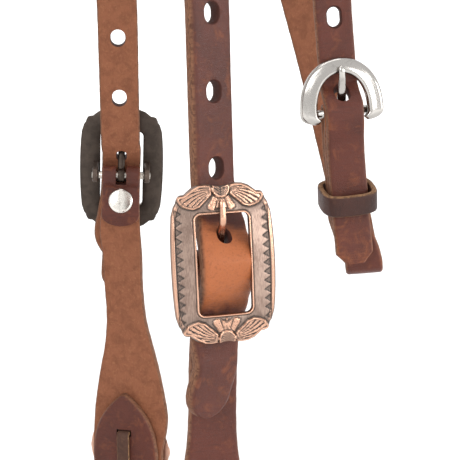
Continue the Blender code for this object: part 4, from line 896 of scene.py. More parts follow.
# Throatlatch beside the poll: shares of half the span, of the setback and of the drop, slope
THROAT_NEAR_SHARES = ((0.28, 0.37, 0.012, 30), (0.44, 0.42, 0.065, 52), (0.57, 0.52, 0.16, 68),
                      (0.665, 0.64, 0.29, 78), (0.735, 0.80, 0.44, 84))
THROAT_FAR_SHARES = ((0.28, 0.37, 0.012, 30), (0.43, 0.44, 0.075, 52), (0.49, 0.55, 0.17, 66),
                     (0.44, 0.70, 0.30, 70), (0.22, 0.90, 0.48, 70))
# Behind its buckle: shares of the fold's drop, of its radius in depth, and of the rear shift
FAR_RISE_SHARES = ((0.8796, 2.353, 1.0), (0.7037, 3.382, 0.9), (0.4074, 5.588, 0.7), (0.0, 8.824, 0.4))
# The browband's bow round the forehead: shares of its half width and of its depth
BROW_SHARES = ((1.0, 0.42), (0.95, 0.60), (0.84, 0.78), (0.62, 0.92), (0.32, 0.99))


# Corners of a rounded oblong: way across, way up, and the degrees at which each starts
CORNERS = ((1, 1, 0), (-1, 1, 90), (-1, -1, 180), (1, -1, 270))


# Where the straps run

Knot = tuple[Vector, Vector, float, float]


def rows(knots: Iterable[Knot]) -> Line:
    """Knots of place, facing, width and thickness in metres as rows in millimetres."""
    return tuple((*(place / MM), *face, wide / MM, thick / MM) for place, face, wide, thick in knots)


def arc(degrees: float, across: Vector, up: Vector) -> Vector:
    """A direction turned from one way toward another."""
    a = math.radians(degrees)
    return across * math.cos(a) + up * math.sin(a)


@dataclass
class Side:
    """One buckle's own frame, X across, Y up, Z outward, and how the leather turns beside it.

    Angles are in degrees, from straight out toward the rear; shift, sway and trail are metres.
    """

    name: str
    sign: int
    yaw: float
    tilt: float
    roll: float
    origin: tuple[float, float, float]
    strap: float = 0.0
    billet: float = 0.0
    tail: float = 0.0
    tail_end: float = 0.0
    cheek: float = 0.0
    hang: float = 0.0
    shift: float = 0.0
    sway: float = 0.0
    trail: float = 0.0

    def __post_init__(self) -> None:
        """Works out the frame's directions."""
        a, t, r = (math.radians(v) for v in (self.yaw, self.tilt, self.roll))
        self.out = Vector((self.sign * math.cos(a) * math.cos(t), math.sin(a) * math.cos(t), math.sin(t)))
        up = (Vector((0, 0, 1)) - self.out * self.out.z).normalized()
        across = up.cross(self.out)
        self.across = across * math.cos(r) + up * math.sin(r)
        self.up = up * math.cos(r) - across * math.sin(r)
        self.upright = self.sign * math.tan(r)
        self.matrix = Matrix.Translation(self.origin) @ Matrix(
            (self.across, self.up, self.out)).transposed().to_4x4()
        self.down = Vector((0, -self.sway / CONCHO_DROP, 1)).normalized()
        level = self.level(self.yaw + self.hang)
        self.hang_out = (level - self.down * level.dot(self.down)).normalized()
        self.hang_across = self.down.cross(self.hang_out)

    def world(self, rear: float, up: float, out: float) -> Vector:
        """A place beside the pin: rearward, up and outward, in the buckle's frame."""
        return self.matrix @ Vector((self.sign * rear, up, out))

    def facing(self, degrees: float) -> Vector:
        """The frame's outward direction turned rearward."""
        return arc(degrees, self.out, self.across * self.sign)

    def level(self, degrees: float) -> Vector:
        """An outward direction without tilt, turned rearward from straight out."""
        a = math.radians(degrees)
        return Vector((self.sign * math.cos(a), math.sin(a), 0))

    def below(self, rear: float, drop: float, out: float) -> Vector:
        """A place on the lower cheek, which hangs straight down from the pin."""
        base = Vector((self.sign * (HALF_SPAN - PIN_GAP), self.sway * drop / CONCHO_DROP, -DROP - drop))
        return base + self.hang_across * (self.sign * rear) + self.hang_out * out

    def lower(self, drop: float, out: float) -> Matrix:
        """Frame on the lower cheek: X across, Y up, Z outward."""
        made = Matrix((self.hang_across, self.down, self.hang_out)).transposed().to_4x4()
        made.translation = self.below(0, drop, out)
        return made


SIDES = {
    "near": Side("near", 1, -4.5, 8.0, 0.8, (HALF_SPAN, 0, -DROP), strap=10.0, billet=28.0, tail=16.0,
                 tail_end=24.0, cheek=4.0, hang=7.0, shift=-0.0025, sway=-0.002, trail=-0.0034),
    "off": Side("off", -1, 15.5, 8.0, 2.0, (-HALF_SPAN, 0, -DROP), strap=1.0, hang=17.0, shift=-0.0025,
                sway=0.0007),
}
THROAT = Side("throat", 1, -9.0, 5.0, 4.5, (THROAT_X, THROAT_BACK, -THROAT_DROP))


def lean(degrees: float, width: float = STRAP_W) -> float:
    """How much deeper a turned strap's edge lies than its middle."""
    return abs(math.sin(math.radians(degrees))) * width / 2


def frame_front(height: float) -> float:
    """Face of the buckle frame over its pin's plane, arched from end to end."""
    return FRAME_FRONT - FRAME_SAG * (height / (FRAME_H / 2)) ** 2


def behind_bar(degrees: float) -> float:
    """Middle of the strap where it passes behind a bar."""
    return frame_front(FRAME_H / 2) - FRAME_T - SEAT - lean(degrees) - STRAP_T / 2


def strap_out(side: Side, up: float) -> float:
    """Middle of the crown strap in front of the pin's plane: over the pin, behind both bars."""
    top = FOLD_OUT + 3 * SEAT + lean(side.strap) + STRAP_T / 2
    low = behind_bar(side.billet if up > 0 else side.tail)
    return top + (low - top) * (1 - math.cos(math.pi * min(abs(up) / (OPEN_H / 2), 1.0))) / 2


def cheek_screw_out(side: Side) -> float:
    """Middle of the cheek strap at its screw, whose head stays clear of the crown strap."""
    stack = STRAP_T / 2 + 2 * SEAT + HEAD_T + FOLD_T / 2
    return (strap_out(side, -SCREW_DROP) - stack * math.hypot(1, SCREW_SLOPE)
            - lean(side.strap - side.cheek / 2, 2 * HEAD_R) - SEAT)


def screw_matrix(side: Side) -> Matrix:
    """Frame of the cheek's screw, square to both layers, Z outward from the outer one."""
    spot = Matrix.Translation((0, -SCREW_DROP, cheek_screw_out(side)))
    return (side.matrix @ spot @ Matrix.Rotation(math.radians(side.cheek * side.sign / 2), 4, "Y")
            @ Matrix.Rotation(math.atan(SCREW_SLOPE), 4, "X"))


def crossing(slope: float, high: float, start: float, strap: Callable[[float], float]) -> tuple[float, float]:
    """Where a tongue's straight shank meets the middle of the strap.

    Args:
        slope: Rise of the shank, outward for each step up.
        high: Top of the searched stretch.
        start: The shank's height over the pin's plane at the pin.
        strap: The strap's middle over the plane, at a place up.

    Returns:
        The place, up and outward.
    """
    low = 0.0
    for _ in range(40):
        middle = (low + high) / 2
        if middle * slope + start < strap(middle):
            low = middle
        else:
            high = middle
    return low, low * slope + start


def crown_half(side: Side) -> list[Knot]:
    """Knots of the crown strap from beside the poll to its end on one side.

    Args:
        side: The side that it runs down.

    Returns:
        Knots in metres, the highest first.
    """
    knots = []
    for i, (span, drop, slope) in enumerate(POLL_SHARES):
        face = arc(90 - slope, side.level((side.yaw + side.billet) * i / len(POLL_SHARES)), Vector((0, 0, 1)))
        knots.append((Vector((side.sign * span * HALF_SPAN, 0, STRAP_T / 2 - drop * DROP)), face))
    for share in (4.1, 2.8, 1.6):
        knots.append((side.world(side.upright * share * BAR_V, share * BAR_V,
                                 behind_bar(side.billet) + CROWN_LEAN * (share - 1.6) / 2.5),
                      side.facing(side.billet)))
    for share in (1.2, 1.0, 0.78, 0.6, 0.4, 0.2, 0, -0.2, -0.4, -0.6, -0.78, -1.0, -1.25):
        end = side.billet if share > 0 else side.tail
        turn = side.strap + (end - side.strap) * min(abs(share) / 0.78, 1) ** 2
        rear = side.shift * (-share - 0.5) if share < -0.5 else 0
        if share > 0.5:
            rear = side.upright * share * BAR_V
        knots.append((side.world(rear, share * BAR_V, strap_out(side, share * BAR_V)), side.facing(turn)))
    off = (CHEEK_T + STRAP_T) / 2 + SEAT + lean(side.tail_end - side.hang) + LEATHER_GAP
    for share in (0.64, 0.82, 1.0):
        rear = side.shift * share + side.trail * (share - 0.64) / 0.36
        knots.append((side.below(rear, TAIL_LEN * share, off), side.level(side.yaw + side.tail_end)))
    return [(*knot, STRAP_W, STRAP_T) for knot in knots]


def crown_line() -> Line:
    """The crown strap, from the off end over the poll to the near end."""
    flat = [(Vector((x * POLL_FLAT / 2, 0, STRAP_T / 2)), Vector((0, 0, 1)), STRAP_W, STRAP_T)
            for x in (-1, 1)]
    return rows(crown_half(SIDES["off"])[::-1] + flat + crown_half(SIDES["near"]))


def cheek_line(side: Side) -> Line:
    """The cheek in one piece: folded end, round the pin, down, round the bit, inner tab.

    Args:
        side: The side that it hangs on.

    Returns:
        Rows in millimetres, from the folded end to the point.
    """
    wrap_r = PIN_R + PIN_GAP + FOLD_T / 2
    screw = cheek_screw_out(side)
    fold = screw - PLY_STEP * math.hypot(1, SCREW_SLOPE)
    reach = (-HEAD_R, 0, SCREW_FLAT)
    layer = (behind_bar(side.tail) - STRAP_T / 2 - SEAT - lean(side.tail - side.cheek) - FOLD_T / 2)
    bar = min(layer, screw - SCREW_SLOPE * HEAD_R * 1.15)
    knots = [(side.world(0, -FOLD_LEN, bar - PLY_STEP), -side.facing(side.cheek), CHEEK_W, FOLD_END_T)]
    for step in reach:
        knots.append((side.world(0, -SCREW_DROP + step, fold + SCREW_SLOPE * step),
                      -side.facing(side.cheek * 0.5), CHEEK_W, FOLD_END_T))
    for degrees in (185, 165, 145, 125, 105, 85, 65, 45, 25, 5, -10):
        a = math.radians(degrees)
        knots.append((side.world(0, wrap_r * math.sin(a), wrap_r * math.cos(a)),
                      arc(degrees, side.out, side.up), CHEEK_W, FOLD_T))
    for step in reversed(reach):
        knots.append((side.world(0, -SCREW_DROP + step, screw + SCREW_SLOPE * step),
                      side.facing(side.cheek * 0.5), CHEEK_W, FOLD_T))
    for up in (OPEN_H / 2, BAR_V):
        knots.append((side.world(0, -up, bar), side.facing(side.cheek), CHEEK_W, FOLD_T))
    grow = CHEEK_WIDE - CHEEK_W
    for share, wide in WIDEN_SHARES:
        knots.append((side.below(0, share * CONCHO_DROP, 0), side.hang_out, CHEEK_W + grow * wide, CHEEK_T))
    inner = -(CHEEK_T + LEATHER_GAP)
    neck = CONCHO_DROP + CONCHO_R + CONCHO_T / 3 + 3 * SEAT
    wide = CHEEK_W + grow * 0.9
    knots.append((side.below(0, neck, 0), side.hang_out, wide, CHEEK_T))
    for degrees in (40, 10, -20, -50, -80, -100, -130, -160, -190, -220):
        a = math.radians(degrees)
        width = LOOP_W + (wide - LOOP_W) * abs((degrees + 90) / 130) ** 2 * 0.6
        knots.append((side.below(0, neck + BIT_NECK - BIT_LOOP_R * math.sin(a),
                                 inner / 2 + BIT_LOOP_R * math.cos(a)),
                      arc(degrees, side.hang_out, side.down), width, CHEEK_T))
    knots.append((side.below(0, neck, inner), -side.hang_out, TAB_WIDE, CHEEK_T))
    for share, part in TAB_SHARES:
        drop = TAB_DROP + (CONCHO_DROP - TAB_DROP) * share
        knots.append((side.below(0, drop, inner), -side.hang_out, TAB_WIDE * part, CHEEK_T))
    return rows(knots)


def lace_line(side: Side) -> Line:
    """The bit lace: flat behind the tab, out through both slits, crossed over, two free ends.

    Args:
        side: The side that it hangs on.

    Returns:
        Rows in millimetres, from one free end to the other.
    """
    back = -(CHEEK_T * 3 / 2 + LEATHER_GAP) - SEAT - LACE_T / 2
    face = CHEEK_T / 2 + SEAT + CONCHO_T + CONCHO_RISE + SEAT + LACE_T / 2
    second = face + LACE_T + SEAT
    clear = max(face, BIT_LOOP_R + CHEEK_T / 2 + SEAT + LACE_T / 2)
    out, up, bend = side.hang_out, side.down, LACE_BEND
    spots = [(LACE_SPREAD, -LACE_END, clear, out), (LACE_SPREAD, -LACE_END * 0.6, clear, out)]
    down, rise = (90, 60, 30, 0), (0, 30, 60, 90)
    for order, middle, level, along, deep, lift, away in (
            (down, -SLIT_OFF - bend, face - bend, 1, 1, 1, 1),
            (rise, -SLIT_OFF + bend, back + bend, -1, -1, 1, 1),
            (down, SLIT_OFF - bend, back + bend, 1, -1, -1, 1),
            (rise, SLIT_OFF - bend, face - bend, 1, 1, -1, -1)):
        for degrees in order:
            c, s = math.cos(math.radians(degrees)), math.sin(math.radians(degrees))
            way = up * lift * c + out * away * s
            spots.append((0, middle + along * bend * c, level + deep * bend * s, way))
    spots += [(0, 0, face + SEAT, -out), (0, -SLIT_OFF + bend * 2, second, -out),
              (0, -SLIT_OFF - LACE_T, second + SEAT, -out),
              (-LACE_SPREAD * 0.5, -SLIT_OFF - LACE_W * 2, max(second, clear + LACE_T) + 2 * SEAT, -out),
              (-LACE_SPREAD, -LACE_END, clear + LACE_T + 2 * SEAT, -out)]
    return rows((side.below(rear, CONCHO_DROP - high, far), way, LACE_W, LACE_T)
                for rear, high, far, way in spots)


def shoe_out(up: float) -> float:
    """Middle of the throatlatch: behind the horseshoe's top, over its bar.

    Args:
        up: Place above the bar, in metres.

    Returns:
        The middle's place out from the bar's plane, in metres.
    """
    low = -SEAT * 2 - THROAT_T / 2
    inside = SHOE_RISE - SHOE_CROWN
    if up >= 0:
        way = (up - SHOE_BAR_R) / (inside * 0.76 - SHOE_BAR_R)
        return TAIL_OUT + (low - TAIL_OUT) * (1 - math.cos(math.pi * min(max(way, 0.0), 1.0))) / 2
    return TAIL_OUT + (REST_OUT - TAIL_OUT) * (1 - math.cos(math.pi * min(-up / inside, 1.0))) / 2


def throat_line() -> Line:
    """The throatlatch: fold round the bar, down, round the bottom, over the poll, to its end."""
    knots: list[Knot] = []
    out, up = THROAT.out, THROAT.up
    wrap = SHOE_BAR_R + PIN_GAP + THIN_T / 2
    under = KEEPER_DROP + KEEPER_W

    def add_knot(rear: float, high: float, far: float, face: Vector, thick: float = THROAT_T) -> None:
        """One knot in the buckle's frame."""
        knots.append((THROAT.world(rear, high, far), face, THROAT_W, thick))

    def slant(down: float) -> tuple[float, Vector]:
        """Rearward shift and facing of the lower layers below the keeper."""
        share = max(0.0, (down - under) / (BOTTOM_DROP - under))
        return BOTTOM_REAR * share, THROAT.facing(BOTTOM_TWIST * share)

    for down in (SHOE_FOLD_LEN, SHOE_FOLD_LEN * 0.8, under, KEEPER_DROP, SHOE_FOLD_LEN * 0.25):
        rear, face = slant(down)
        add_knot(rear, -down, INNER_OUT, -face, SHOE_FOLD_T)
    for degrees in (180, 155, 130, 105, 80, 55, 30, 5):
        a = math.radians(degrees)
        add_knot(0, wrap * math.sin(a), -SHOE_BAR_BACK + wrap * math.cos(a), arc(degrees, out, up), THIN_T)
    for down in (SHOE_FOLD_LEN * 0.25, KEEPER_DROP, under):
        add_knot(0, -down, MAIN_OUT, out)
    for share in (0.8, 1.0):
        rear, face = slant(SHOE_FOLD_LEN * share)
        add_knot(rear, -SHOE_FOLD_LEN * share, MAIN_OUT, face)
    face = slant(BOTTOM_DROP)[1]
    centre = THROAT.world(BOTTOM_REAR, -BOTTOM_DROP, MAIN_OUT) - face * BOTTOM_R
    for degrees in (0, -30, -60, -90, -120, -150, -180):
        toward = arc(degrees, face, up)
        knots.append((centre + toward * BOTTOM_R, toward, THROAT_W, THROAT_T))
    for down, behind, rear in FAR_RISE_SHARES:
        add_knot(BOTTOM_REAR * rear, -down * BOTTOM_DROP, MAIN_OUT - behind * BOTTOM_R, -face)
    poll = []
    for hand, way, shares in ((-1, 162, THROAT_FAR_SHARES[::-1]), (1, -5, THROAT_NEAR_SHARES)):
        if hand > 0:
            poll += [(Vector((x * POLL_FLAT / 2, THROAT_Y, THROAT_T / 2)), Vector((0, 0, 1)))
                     for x in (-1, 1)]
        level = arc(way, Vector((1, 0, 0)), Vector((0, 1, 0)))
        for span, back, drop, slope in shares:
            poll.append((Vector((hand * span * HALF_SPAN, back * THROAT_BACK, THROAT_T / 2 - drop * DROP)),
                         arc(90 - slope, level, Vector((0, 0, 1)))))
    knots += [(place, face, THROAT_W, THROAT_T) for place, face in poll]
    inside = SHOE_RISE - SHOE_CROWN
    for share in (2.6, 1.9, 1.35, 1.0, 0.75, 0.6, 0.45, 0.3, 0.12, -0.1, -0.3, -0.5, -0.75, -1.0):
        add_knot(0, share * inside, shoe_out(share * inside), out)
    lift = lean(14, THROAT_W)
    for down, raised in ((KEEPER_DROP, 0), (KEEPER_DROP + KEEPER_W * 0.8, 0),
                         (THROAT_TAIL * 0.82, lift * 0.6), (THROAT_TAIL, lift)):
        add_knot(0, -down, REST_OUT + raised, out)
    return rows(knots)


def keeper_line() -> Line:
    """The closed loop round the throatlatch's end and both layers behind it."""
    front, back = REST_OUT + THROAT_T / 2, INNER_OUT - SHOE_FOLD_T / 2
    tilt = math.radians(KEEPER_TILT)
    slack = KEEPER_GAP + KEEPER_T / 2
    half_d = ((front - back) / math.cos(tilt) + KEEPER_W * math.tan(tilt)) / 2 + slack
    half_w = THROAT_W / 2 + slack
    corner = min(half_w, half_d) * 0.5
    centre = THROAT.world(0, -KEEPER_DROP, (front + back) / 2)
    out = arc(-KEEPER_TILT, THROAT.out, THROAT.up)
    knots = []
    for cx, cy, start in CORNERS:
        for i in range(3):
            toward = arc(start + 45 * i, THROAT.across, out)
            middle = centre + THROAT.across * cx * (half_w - corner) + out * cy * (half_d - corner)
            knots.append((middle + toward * corner, toward, KEEPER_W, KEEPER_T))
    return rows(knots + knots[:1])


def brow_loop(sign: int) -> tuple[float, float, float, float]:
    """Sizes of the browband's end loop round both straps.

    Args:
        sign: 1 on the near side, -1 on the off side.

    Returns:
        Outside, inside, rear and front, in metres.
    """
    across, along = [], []
    for line in (crown_line(), throat_line()):
        t = Track(line)
        kept = ((t.place[:, 0] * sign > POLL_FLAT / MM) & (abs(t.place[:, 1]) < THROAT_BACK / MM)
                & (t.place[:, 2] > -2 * BROW_DROP / MM))
        for a in (-0.5, 0.5):
            for b in (-0.5, 0.5):
                spot = (t.place + t.side * (a * t.width)[:, None] + t.face * (b * t.thick)[:, None]) * MM
                near = kept & (abs(spot[:, 2] + BROW_DROP) < BROW_W / 2 + 2 * SEAT)
                across.append(spot[near, 0] * sign)
                along.append(spot[near, 1])
    x, y = np.concatenate(across), np.concatenate(along)
    gap = BROW_GAP + BROW_T / 2
    return x.max() + gap, x.min() - gap, y.max() + gap + BROW_ROOM, y.min() - BROW_GAP


def brow_line() -> Line:
    """The browband: bowed round the forehead, its ends looped round both straps."""
    halves = []
    for sign in (1, -1):
        outside, inside, rear, front = brow_loop(sign)
        radius, middle = (outside - inside) / 2, (outside + inside) / 2
        step, at = (BROW_T + LEATHER_GAP) / 2, front - BROW_SCREW
        spots = [(middle - step, at + HEAD_R * along, (-1, 0)) for along in (-1.6, 0, 1.35)]
        spots += [(inside, front + BROW_GAP, (-1, 0)), (inside, rear - radius, (-1, 0))]
        for degrees in (150, 120, 90, 60, 30):
            c, s = math.cos(math.radians(degrees)), math.sin(math.radians(degrees))
            spots.append((middle + radius * c, rear - radius + radius * s, (c, s)))
        spots += [(outside, rear - radius, (1, 0)), (outside, front + BROW_GAP, (1, 0))]
        spots += [(middle + step, at + HEAD_R * along, (1, 0)) for along in (1.35, -1.35)]
        spots += [((middle + step) * span, -BROW_DEPTH * deep, (span ** 3, -deep ** 3))
                  for span, deep in BROW_SHARES]
        halves.append([(Vector((sign * across, along, -BROW_DROP)), Vector((sign * face[0], face[1], 0)),
                        BROW_W, BROW_T) for across, along, face in spots])
    front_knot = (Vector((0, -BROW_DEPTH, -BROW_DROP)), Vector((0, -1, 0)), BROW_W, BROW_T)
    return rows(halves[0] + [front_knot] + halves[1][::-1])


def millimetres(frame: Matrix) -> Matrix:
    """A frame in metres as one in millimetres."""
    made = frame.copy()
    made.translation = frame.translation / MM
    return made


def place_of(name: str) -> Matrix:
    """The frame of a fitting, in millimetres: X across, Y up, Z outward.

    Args:
        name: "near_" or "off_" with "buckle", "screw" or "concho", or "throat_buckle".

    Returns:
        Its frame.
    """
    if name == "throat_buckle":
        return millimetres(THROAT.matrix)
    side, fitting = SIDES[name.split("_")[0]], name.split("_")[1]
    made = {"buckle": side.matrix, "screw": screw_matrix(side),
            "concho": side.lower(CONCHO_DROP, CHEEK_T / 2 + SEAT)}[fitting]
    return millimetres(made)


def tongue_points() -> tuple[tuple[float, float], ...]:
    """A cart tongue's middle line over the pin's plane, up and out, in millimetres."""
    over = BEAD_H + SEAT + TONGUE_T / 2
    start, tip = OPEN_H / 2 - TONGUE_T / 2, BUTTON_V - BUTTON_R - SEAT
    half = (start + tip) / 2
    lift = FAN_H - BEAD_H + over
    return tuple((up / MM, (frame_front(up) + rise) / MM)
                 for up, rise in ((start, over), (half, lift), (tip, lift)))


def shoe_tongue_points() -> tuple[tuple[float, float], ...]:
    """The throatlatch tongue's middle line over its bar, up and out, in millimetres."""
    over = SEAT * 2 + TONGUE_T / 2
    start, tip = SHOE_RISE - SHOE_CROWN - TONGUE_T / 2, SHOE_RISE - SHOE_CROWN * 0.45
    high = SHOE_T + over + SHOE_BAR_BACK
    return tuple((up / MM, out / MM)
                 for up, out in ((start, high), ((start + tip) / 2, high + SEAT), (tip, high)))


# Shells of metal

Shell = tuple[list, list]
ALONG_X = Matrix(((0, 0, 1), (1, 0, 0), (0, 1, 0))).to_4x4()


def ease(value: Array, low: float, high: float) -> Array:
    """A smooth rise from 0 at low to 1 at high."""
    share = np.clip((value - low) / (high - low), 0, 1)
    return share * share * (3 - 2 * share)


def ridge(value: Array, middle: float, half: float) -> Array:
    """A rounded ridge of a half width about a middle."""
    return np.sqrt(np.clip(1 - ((value - middle) / half) ** 2, 0, 1))


def squared(value: float, power: float) -> float:
    """A sine or cosine pushed toward its ends, which squares up a circle."""
    return math.copysign(abs(value) ** power, value)


def ring(radius: float, height: float, count: int) -> list[tuple[float, float, float]]:
    """Points of a level circle."""
    return [(radius * math.cos(a), radius * math.sin(a), height) for a in directions(count)]


def loft(rings: Sequence[Sequence[Sequence[float]]], closed: bool = False) -> Shell:
    """A tube through rings of equal size, with flat ends unless it closes on itself.

    Args:
        rings: Points of each ring.
        closed: Whether the last ring joins the first.

    Returns:
        Its corners and its faces.
    """
    verts = [point for one in rings for point in one]
    size, count, faces = len(rings[0]), len(rings), []
    for i in range(count if closed else count - 1):
        k = (i + 1) % count
        for j in range(size):
            n = (j + 1) % size
            faces.append((i * size + j, i * size + n, k * size + n, k * size + j))
    if not closed:
        faces.append(tuple(range(size)))
        faces.append(tuple((count - 1) * size + j for j in reversed(range(size))))
    return verts, faces


def turned(profile: Sequence[tuple[float, float]], count: int = 56) -> Shell:
    """A turned body; its profile of radius and height starts and ends near the axis."""
    return loft([ring(max(radius, 0.02), height, count) for radius, height in profile])


def join_shells(*shells: Shell) -> Shell:
    """Several shells as one."""
    verts, faces = [], []
    for points, sides in shells:
        faces += [tuple(i + len(verts) for i in side) for side in sides]
        verts += list(points)
    return verts, faces


def from_shell(name: str, shell: Shell, frame: Matrix, material: Material,
               sharp: float = 40.0) -> Object:
    """A smooth-shaded object from a shell in a fitting's frame.

    Args:
        name: The object's name.
        shell: Its corners in the frame, in millimetres, and its faces.
        frame: Where the fitting stands.
        material: Its metal.
        sharp: Edges turning more than this many degrees stay crisp.

    Returns:
        The object, at the origin.
    """
    model = bmesh.new()
    made = [model.verts.new((frame @ Vector(point)) * MM) for point in shell[0]]
    for face in shell[1]:
        model.faces.new([made[i] for i in face])
    bmesh.ops.recalc_face_normals(model, faces=model.faces)
    mesh = bpy.data.meshes.new(name)
    model.to_mesh(mesh)
    model.free()
    return shade(mesh_object(name, mesh, material), sharp)


def carve_out(piece: Object, cutter: Cutter, sharp: float) -> Object:
    """A metal piece with shapes cut out of it and without the leather's maps.

    Args:
        piece: The piece.
        cutter: What is cut out of it.
        sharp: Edges turning more than this many degrees stay crisp.

    Returns:
        The piece.
    """
    cutter.cut(piece)
    for layer in list(piece.data.uv_layers):
        piece.data.uv_layers.remove(layer)
    return shade(piece, sharp)


def store(mesh: Mesh, values: dict[str, Array]) -> None:
    """Keeps values on a mesh's points under their names, where its material reads them."""
    for name, data in values.items():
        mesh.attributes.new(name, "FLOAT", "POINT").data.foreach_set("value", data.astype(np.float32))


# Cart buckle

def inside(points: Array, outline: Array) -> Array:
    """Whether points lie inside a closed outline.

    Args:
        points: Places, one to a row.
        outline: Corners of the closed outline.

    Returns:
        Whether each place is inside.
    """
    found = np.zeros(len(points), bool)
    for a, b in zip(outline, np.roll(outline, -1, axis=0)):
        crosses = (a[1] > points[:, 1]) != (b[1] > points[:, 1])
        if a[1] != b[1]:
            found ^= crosses & (points[:, 0] < (b[0] - a[0]) * (points[:, 1] - a[1]) / (b[1] - a[1]) + a[0])
    return found


def depth_in(points: Array, outline: Array) -> Array:
    """Distance from an outline, above nothing inside it and below nothing outside.

    Args:
        points: Places, one to a row.
        outline: Corners of the closed outline.

    Returns:
        The signed distance of each place.
    """
    best = np.full(len(points), np.inf)
    for a, b in zip(outline, np.roll(outline, -1, axis=0)):
        run = b - a
        share = np.clip(((points - a) @ run) / max(float(run @ run), 1e-12), 0, 1)
        best = np.minimum(best, np.linalg.norm(points - a - share[:, None] * run, axis=1))
    return np.where(inside(points, outline), best, -best)


@dataclass
class Carving:
    """A buckle's face under the graver: its height, the black in its cuts and its polish.

    Edge and mouth are distances from the outer edge and from the opening. The places u and v
    have no sign, because all four quarters are alike.
    """

    spots: Array
    edge: Array
    mouth: Array

    def __post_init__(self) -> None:
        """Starts with a flat, clean and dull face."""
        self.u, self.v = np.abs(self.spots).T
        self.quarter = np.stack([self.u, self.v], axis=1)
        self.height, self.cut, self.shine = np.zeros((3, len(self.u)))

    def engrave(self, where: Array, deep: float, black: float | Array) -> None:
        """Cuts into the face and blackens the cut."""
        self.height = self.height - deep * where
        self.cut = np.maximum(self.cut, black * where)

    def polish(self, where: Array) -> None:
        """Rubs the face bright."""
        self.shine = np.maximum(self.shine, where)

    def cover(self, where: Array, black: Array) -> None:
        """Lays new black in place of what was there."""
        self.cut = np.where(where, np.clip(black, 0, 1), self.cut)


